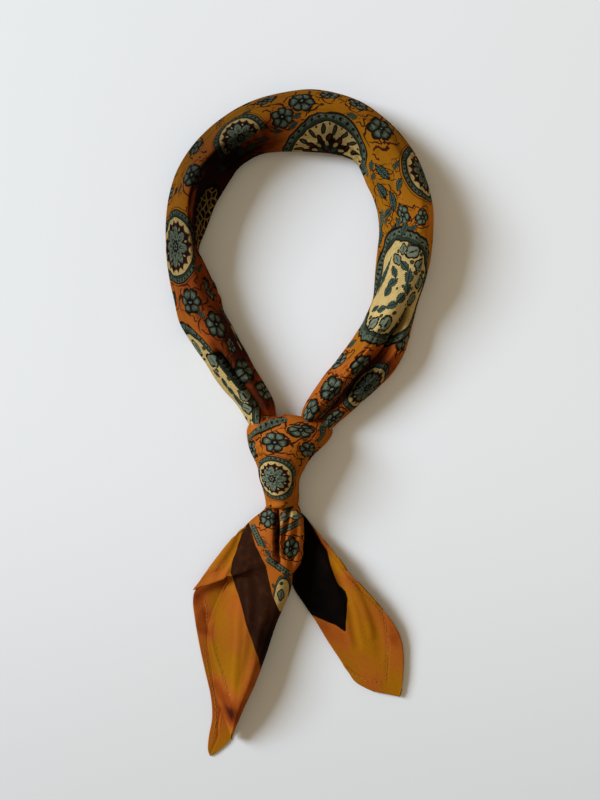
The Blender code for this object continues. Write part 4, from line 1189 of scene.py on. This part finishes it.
def flower_group():
    """The small motifs: flower, leaf, spot, rosette and a bit of a cut-off motif."""
    tree, (place, kind, mottle), out = new_group("flower_print", MOTIF_INPUTS, MOTIF_OUTPUTS)
    u, v, far, angle = polar(place)
    # a flower: scalloped, outlined, its petals parted by thin dark lines
    petals_round = 6
    swing = (saw(angle, petals_round) * math.pi).do("COSINE")
    edge = far / (most(swing, 0.0).do("SQRT") * 0.32 + 0.86)
    parting = spoke(angle, far, petals_round, 0.5)
    light = above(parting, 0.13, 0.14) * below(edge, 0.72, 0.25)
    flower = mix(light * (mottle * 0.65 + 0.35), TEAL_DARK, TEAL_PALE)
    flower = paint(
        mix(below(edge, 0.83, 0.06), INK, flower),
        (below(parting, 0.050, 0.05), INK),
        (below(spoke(angle, far, petals_round), 0.030, 0.04) * below(far, 0.58, 0.1), TEAL_DARK),
        (below(far + abs(saw(angle, 5, 0.2)) * 0.14, 0.36, 0.08), INK),
        (below(far, 0.095, 0.05), TEAL_PALE),
    )
    # a leaf with a toothed edge and veins
    high = abs(v)
    ragged = abs((u * 3.5).do("FRACT") - 0.5) * 0.48
    leaf_edge = high + ragged + u * u * 0.90
    slanted = ((u - high * 0.45) * 3.5).do("FRACT") - 0.5
    veins = below(abs(slanted), 0.14, 0.12) * below(leaf_edge, 0.72, 0.1)
    leaf = paint(
        INK,
        (below(leaf_edge, 0.92, 0.12), mix(mottle, TEAL_DARK, LEAF_BLUE)),
        (most(veins, below(high, 0.10, 0.08)), INK),
    )
    # a spot, a rosette and a cream bit
    spot = below(far, 1.0, 0.25)
    lobes = abs(saw(angle, 4, 0.12))
    rose_edge = far + lobes * lobes * 0.9
    rose = paint(
        INK,
        (below(rose_edge, 0.84, 0.14), mix(mottle, TEAL, TEAL_PALE)),
        (below(high, 0.10, 0.1) * below(abs(u), 0.5, 0.2), INK),
    )
    bit = mix(below(far, 0.74, 0.12), INK, mix(mottle, CREAM_SHADE, CREAM))
    masks, colour = [], WINE
    for number, mask, over in (
        (FLOWER, below(edge, 1.0, 0.05), flower),
        (LEAF, below(leaf_edge, 1.15, 0.10), leaf),
        (SPOT, spot, OLIVE),
        (ROSETTE, below(rose_edge, 1.12, 0.10), rose),
        (BIT, spot, bit),
    ):
        chosen = is_kind(kind, number)
        masks.append(chosen * mask)
        colour = mix(chosen, colour, over)
    feed(out["Color"], colour)
    feed(out["Mask"], sum(masks[1:], masks[0]))
    return tree


def tendril_group():
    """Thin lines with balls at their ends: a single curl, or the tendrils round a flower."""
    tree, (place, kind), out = new_group("tendril_print", MOTIF_INPUTS[:2], MOTIF_OUTPUTS[1:])
    u, v, far, angle = polar(place)
    bend = (u * 3.3).do("SINE") * 0.62
    curl = below(abs(v - bend), 0.36, 0.18) * below(abs(u), 0.95, 0.1)
    curl = most(curl, below(length(u - 0.80, (v - 0.34) * 0.55), 0.34, 0.12))
    start = 0.98 / VINE_REACH

    def arms(swept, end, thick, ball):
        off = spoke(swept, far, 4)
        line = below(off, thick, 0.04) * (below(far, end, 0.04) * above(far, start - 0.10, 0.04))
        return most(line, below(length(off, far - end), ball, 0.04))

    long = arms(angle + (far - start) * 2.6, 0.88, 0.078, 0.120)
    short = arms(angle + 0.55 - (far - start) * 3.2, 0.72, 0.074, 0.100)
    feed(out["Mask"], curl * is_kind(kind, CURL) + most(long, short) * is_kind(kind, VINE))
    return tree


def weave_group():
    """A plain weave: the height of the threads, and a little of their shade."""
    inputs = (("Place", VECTOR, (0, 0, 0)), ("Thread", FLOAT, 0.42))
    tree, (place, thread), out = new_group("plain_weave", inputs, (("Height", FLOAT), ("Shade", FLOAT)))
    warp, weft, _ = split(place)
    threads = (warp / thread * math.pi).do("SINE") * (weft / thread * math.pi).do("SINE")
    slub = noise(place, 0.9, 4.0)[0]
    feed(out["Height"], threads * 0.5 + slub * 0.8)
    feed(out["Shade"], (slub - 0.5) * 0.35 + 0.93)
    return tree


# ---------------------------------------------------------------------------------------- materials


def new_material(name, roughness, shine):
    material = bpy.data.materials.new(name)
    material.use_nodes = True
    shader = material.node_tree.nodes["Principled BSDF"]
    shader.inputs["Roughness"].default_value = roughness
    shader.inputs["Specular IOR Level"].default_value = shine
    return material, material.node_tree, shader


def object_place(tree):
    return Value(new_node(tree, "TexCoord").outputs["Object"])


def field(tree, name):
    return Value(new_node(tree, "Attribute", attribute_type="GEOMETRY", attribute_name=name).outputs["Fac"])


def uv(tree, name):
    return Value(new_node(tree, "UVMap", uv_map=name).outputs[0])


def use_group(tree, group, **inputs):
    node = new_node(tree, "Group", node_tree=group)
    for key, value in inputs.items():
        feed(node.inputs[key], value)
    return {output.name: Value(output) for output in node.outputs}


def cloud(tree, scale, detail, shift=0.0):
    """Soft noise that lies on the cloth."""
    return noise(vector("ADD", uv(tree, "cloth"), (shift, shift, 0)), scale, detail)


def ground_colour(tree, dye_and_shade, start=MUSTARD):
    """The print's ground: mustard that turns to orange, rust and wine by uneven dye and by painted shade."""
    drift = cloud(tree, 0.07, 3.0)[0] - 0.5
    blot = (cloud(tree, 0.30, 4.0, 40.0)[0] - 0.5) * 0.6
    amount = dye_and_shade + (drift + blot)
    return paint(
        start,
        (above(amount, 0.5, 0.9), ORANGE),
        (above(amount, 1.25, 0.9), RUST),
        (above(amount, 2.0, 0.8), DEEP_WINE),
    )


def wavered(tree, name, amount, scale):
    """A motif's place, shaken a little, as in a print by hand."""
    away = vector("SUBTRACT", cloud(tree, scale, 1.0, 11.0)[1], (0.5, 0.5, 0.5))
    return vector("MULTIPLY_ADD", away, (amount, amount, 0), uv(tree, name))


def add_print(tree, groups, colour):
    """Lays the tendrils, the small motifs, the large ones and the inlays on a ground colour."""
    mottle = above(cloud(tree, 1.5, 3.0, 3.0)[0], 0.47, 0.30)

    def motif(group, name, amount, scale, **inputs):
        place = wavered(tree, name, amount, scale)
        return use_group(tree, groups[group], Place=place, Kind=field(tree, name + "_kind"), **inputs)

    small = motif("flower", "small", 0.46, 0.22, Mottle=mottle)
    large = motif("medallion", "large", 0.11, 0.13, Mottle=mottle)
    vine = motif("tendril", "vine", 0.50, 0.15)
    top = field(tree, "on_top")
    here = below(1 - field(tree, "large_kind"), 0.5, 0.2)
    return paint(
        colour,
        (vine["Mask"], mix(mottle, INK, WINE)),
        (small["Mask"] * (1 - top), small["Color"]),
        (large["Mask"] * here, large["Color"]),
        (small["Mask"] * top, small["Color"]),
    )


def finish_cloth(tree, shader, groups, colour):
    """The cloth's weave over its colour, with painted shade that darkens it and painted light that lightens
    it.
    """
    weave = use_group(tree, groups["weave"], Place=uv(tree, "cloth"), Thread=0.42)
    # painted shade and painted light: the field read here darkens the colour, or lightens it below 0
    tone_and_painted_shading = weave["Shade"] * (1 - field(tree, "painted_shading"))
    grey = Value(new_node(tree, "CombineColor", {0: tone_and_painted_shading, 1: tone_and_painted_shading, 2: tone_and_painted_shading}).outputs[0])
    shade = new_node(tree, "Mix", {0: 1.0}, data_type="RGBA", blend_type="MULTIPLY")
    feed(shade.inputs[6], colour)
    feed(shade.inputs[7], grey)
    feed(shader.inputs["Base Color"], Value(shade.outputs[2]))
    bump = new_node(tree, "Bump", {"Strength": 0.5, "Distance": 0.10 * MM, "Height": weave["Height"]})
    feed(shader.inputs["Normal"], Value(bump.outputs[0]))


def printed_material(groups):
    material, tree, shader = new_material("printed_cotton", 0.86, 0.035)
    start = mix(below(field(tree, "gold"), 0.5, 0.9), MUSTARD, OLIVE_GOLD)
    ground = ground_colour(tree, field(tree, "dye_and_shade"), start)
    finish_cloth(tree, shader, groups, add_print(tree, groups, ground))
    return material


def border_material(groups, name, stripe):
    """The mustard border with its stripe, and the printed middle where the tail has it."""
    material, tree, shader = new_material(name, 0.86, 0.035)
    uneven = cloud(tree, 0.18, 5.0)[0]
    worn = tuple(2.2 * c for c in stripe[:3]) + (1,)
    stripe_colour = mix(above(uneven, 0.56, 0.2) * 0.5, stripe, worn)
    stripe_colour = mix(below(field(tree, "blot"), 0.5, 0.8), worn, stripe_colour)
    striped = below(field(tree, "stripe") + (uneven - 0.5) * 0.9, 0.0, 0.35)
    printed = add_print(tree, groups, ground_colour(tree, field(tree, "dye_and_shade") * 0.3 + 0.75))
    colour = paint(
        ground_colour(tree, field(tree, "dye_and_shade")),
        (striped, stripe_colour),
        (below(field(tree, "middle"), 0.0, 0.3), printed),
        (below(abs(field(tree, "seam")), 0.20, 0.40) * 0.30, WINE),
    )
    finish_cloth(tree, shader, groups, colour)
    return material


def thread_material():
    """Sewing thread, lighter and darker from stitch to stitch."""
    material, tree, shader = new_material("sewing_thread", 0.7, 0.15)
    darker = tuple(0.45 * c for c in THREAD[:3]) + (1,)
    feed(shader.inputs["Base Color"], mix(noise(object_place(tree), 300.0)[0], darker, THREAD))
    return material


# ---------------------------------------------------------------------------------------- the pieces


def lay_rolls(material):
    """The rolled band round the neck, the strand that opens behind its right side, and the knot."""
    band_rows = LEFT_LIMB_ROWS[::-1] + LOOP_ROWS + RIGHT_FRONT_ROWS
    loop = ("loop_left", "loop_far_end", "loop_right")
    strands = ("left_strand_inner", "left_strand_outer", "right_strand_front")
    for name, rows, creases, uneven, seed, side_count, dye, replaced in (
        ("rolled_band", band_rows, BAND_CREASES, 0.45, 3, 32, BAND_DYE, loop + strands),
        ("right_back_strand", RIGHT_BACK_ROWS, STRAND_CREASES, 0.25, 6, 28, BAND_DYE, ("right_strand_back",)),
        ("knot_wrap", KNOT_ROWS, KNOT_CREASES, 0.3, 8, 36, KNOT_DYE, ("knot",)),
    ):
        cloth = roll_cloth(rows, side_count)
        press_creases(cloth, creases)
        ripple(cloth, uneven, seed)
        printed = print_cloth(cloth, ROLL_REACH)
        x, y = cloth.points[:, :, 0], cloth.points[:, :, 1]
        # painted shade: faces of the left arc that turn to the right, away from the window, are made redder
        # and darker
        facing_away = np.clip(cloth.normals()[:, :, 0], 0, 1) * smooth((y - 58) / 20) * smooth((-4 - x) / 14)
        fields = {
            "dye_and_shade": spots_over(cloth, dye, BAND_DYE_AND_SHADE_GLOWS) + INNER_SHADE_RED * facing_away,
            "painted_shading": np.clip(spots_over(cloth, 0.02, PAINTED_SHADING_GLOWS) + INNER_SHADE_DARK * facing_away, -0.7, 0.93),
            "gold": spots_over(cloth, 0.1, GOLD_GLOWS),
        }
        obj = cloth_object(name, cloth, printed, fields)
        finish_piece(obj, material, replaced)


def tail_fields(cloth, stripe, middle, seams):
    """Distances to the tail's stripe, printed middle and seams, and the spots over it."""
    nothing = np.full(cloth.points.shape[:2], 50.0)
    lines = [away_from(cloth.points, on_table(line_through(seam, 6))) for seam in seams]
    return {
        "stripe": inside_outline(cloth.points, on_table(stripe)) if stripe else nothing,
        "middle": inside_outline(cloth.points, on_table(middle)) if middle else nothing,
        "seam": np.min([nothing] + lines, axis=0),
        "dye_and_shade": spots_over(cloth, TAIL_DYE, TAIL_DYE_AND_SHADE_GLOWS),
        "blot": spots_over(cloth, 0, BLOT_GLOWS),
        "painted_shading": np.clip(spots_over(cloth, 0, PAINTED_SHADING_GLOWS), 0, 0.85),
    }


def lay_tails(left, right, thread):
    """The left tail's front and under layers and the right tail, in their two materials."""
    for name, node, rows, creases, swell, bottom, uneven, seed, material, stripe, middle, seams in (
        ("left_tail_cloth", "left_tail_front", LEFT_FRONT_ROWS, LEFT_FRONT_CREASES, 1.5, TAIL_BOTTOM, 0.20,
         11, left, STRIPE_LEFT_TAIL, PRINT_LEFT_TAIL, (SEAM_LEFT_FRONT, SEAM_LEFT_HEM)),
        ("left_tail_underlayer", "left_tail_under", LEFT_UNDER_ROWS, LEFT_UNDER_CREASES, 1.5, None, 0.05,
         12, left, None, None, (SEAM_LEFT_UNDER,)),
        ("right_tail_cloth", "right_tail", RIGHT_TAIL_ROWS, RIGHT_TAIL_CREASES, 3.0, None, 0.20,
         13, right, STRIPE_RIGHT_TAIL, None, (SEAM_RIGHT_SIDE, SEAM_RIGHT_END)),
    ):
        cloth = sheet_cloth(rows, swell, bottom)
        press_creases(cloth, creases)
        ripple(cloth, uneven, seed)
        fields = tail_fields(cloth, stripe, middle, seams)
        obj = cloth_object(name, cloth, print_cloth(cloth, TAIL_REACH), fields)
        finish_piece(obj, material, (node,))
        sew(name + "_stitches", cloth, STITCH_LINES[name], thread)


def sew(name, cloth, lines, thread):
    """Stitches along lines of the picture: short capsules that lie on the cloth, joined in one piece."""
    bpy.ops.object.select_all(action="DESELECT")
    bpy.ops.mesh.primitive_uv_sphere_add(segments=8, ring_count=5, radius=0.5)
    first = bpy.context.active_object
    first.data.transform(Matrix.Diagonal((STITCH_LONG * MM, STITCH_WIDE * MM, STITCH_HIGH * MM, 1.0)))
    seen, normals = cloth.seen(), cloth.normals()
    copies = []
    for line in lines:
        line = cloth.lay_line(seen, line)
        run = runs(line)
        for at in np.arange(1.0, run[-1] - 1.0, STITCH_EVERY):
            place, ahead = (
                np.array([np.interp(at + step, run, line[:, k]) for k in range(3)]) for step in (0, 0.6)
            )
            i, j = np.unravel_index(np.linalg.norm(cloth.points - place, axis=2).argmin(), seen.shape[:2])
            up = Vector(normals[i, j])
            way = Vector(ahead - place).normalized()
            side = up.cross(way).normalized()
            place = Vector(cloth.points[i, j]) + up * STITCH_LIFT
            turn = Matrix((way, side, way.cross(side))).transposed().to_4x4()
            copy = first.copy()
            copy.data = first.data.copy()
            at_frame = Vector((place.x, place.y + MIDDLE_Y, place.z)) * MM
            copy.data.transform(Matrix.Translation(at_frame) @ turn)
            bpy.context.scene.collection.objects.link(copy)
            copies.append(copy)
    bpy.data.objects.remove(first)
    for copy in copies:
        copy.select_set(True)
    bpy.context.view_layer.objects.active = copies[0]
    bpy.ops.object.join()
    joined = bpy.context.active_object
    joined.name = name
    joined.data.shade_smooth()
    joined.select_set(False)
    finish_piece(joined, thread)


# ------------------------------------------------------------------------------- floor, light, camera


def lay_floor():
    """A pale table with painted shade: it is a little darker towards the bottom of the picture."""
    bpy.ops.object.select_all(action="DESELECT")
    bpy.ops.mesh.primitive_plane_add(size=4.0, location=(0, 0, 0))
    floor = bpy.context.active_object
    floor.name = "floor"
    material, tree, shader = new_material("pale_table", 0.6, 0.2)
    place = object_place(tree)
    colour = mix(noise(place, 1.5)[0], TABLE_WHITE, TABLE_LIGHT)
    # painted shade: the table turns darker towards the bottom of the picture
    feed(shader.inputs["Base Color"], mix(below(split(place)[1], -0.11, 0.26), colour, TABLE_PAINTED_SHADE))
    floor.data.materials.append(material)
    floor.select_set(False)


def set_light():
    """One large window at the left, and the room's soft warm light."""
    window = bpy.data.lights.new("window", "AREA")
    window.shape = "SQUARE"
    window.size = 2.55
    window.energy = 566.0
    window.color = WINDOW_LIGHT
    obj = bpy.data.objects.new("window", window)
    bpy.context.scene.collection.objects.link(obj)
    obj.location = (-4.9, 1.8, 3.0)
    obj.rotation_euler = (-obj.location).to_track_quat("-Z", "Y").to_euler()
    world = bpy.data.worlds.new("room")
    bpy.context.scene.world = world
    world.use_nodes = True
    background = world.node_tree.nodes["Background"]
    background.inputs[0].default_value = ROOM_LIGHT
    background.inputs[1].default_value = 0.385


def set_camera():
    """Straight above the table, so that a pixel there is MM_PER_PIXEL wide."""
    camera = bpy.data.cameras.new("camera")
    camera.sensor_fit = "VERTICAL"
    camera.sensor_height = 24.0
    camera.lens = camera.sensor_height * EYE_HIGH / (PICTURE_HIGH * MM_PER_PIXEL)
    camera.clip_start = 0.01
    obj = bpy.data.objects.new("camera", camera)
    bpy.context.scene.collection.objects.link(obj)
    obj.matrix_world = Matrix.Translation((0, MIDDLE_Y * MM, EYE_HIGH * MM))
    bpy.context.scene.camera = obj


def main():
    set_camera()
    set_light()
    lay_floor()
    groups = {
        "medallion": medallion_group(),
        "flower": flower_group(),
        "tendril": tendril_group(),
        "weave": weave_group(),
    }
    lay_rolls(printed_material(groups))
    lay_tails(
        border_material(groups, "border_cotton_left", STRIPE_BROWN),
        border_material(groups, "border_cotton_right", STRIPE_BLACK),
        thread_material(),
    )
    bpy.context.scene.view_settings.view_transform = "Standard"


main()
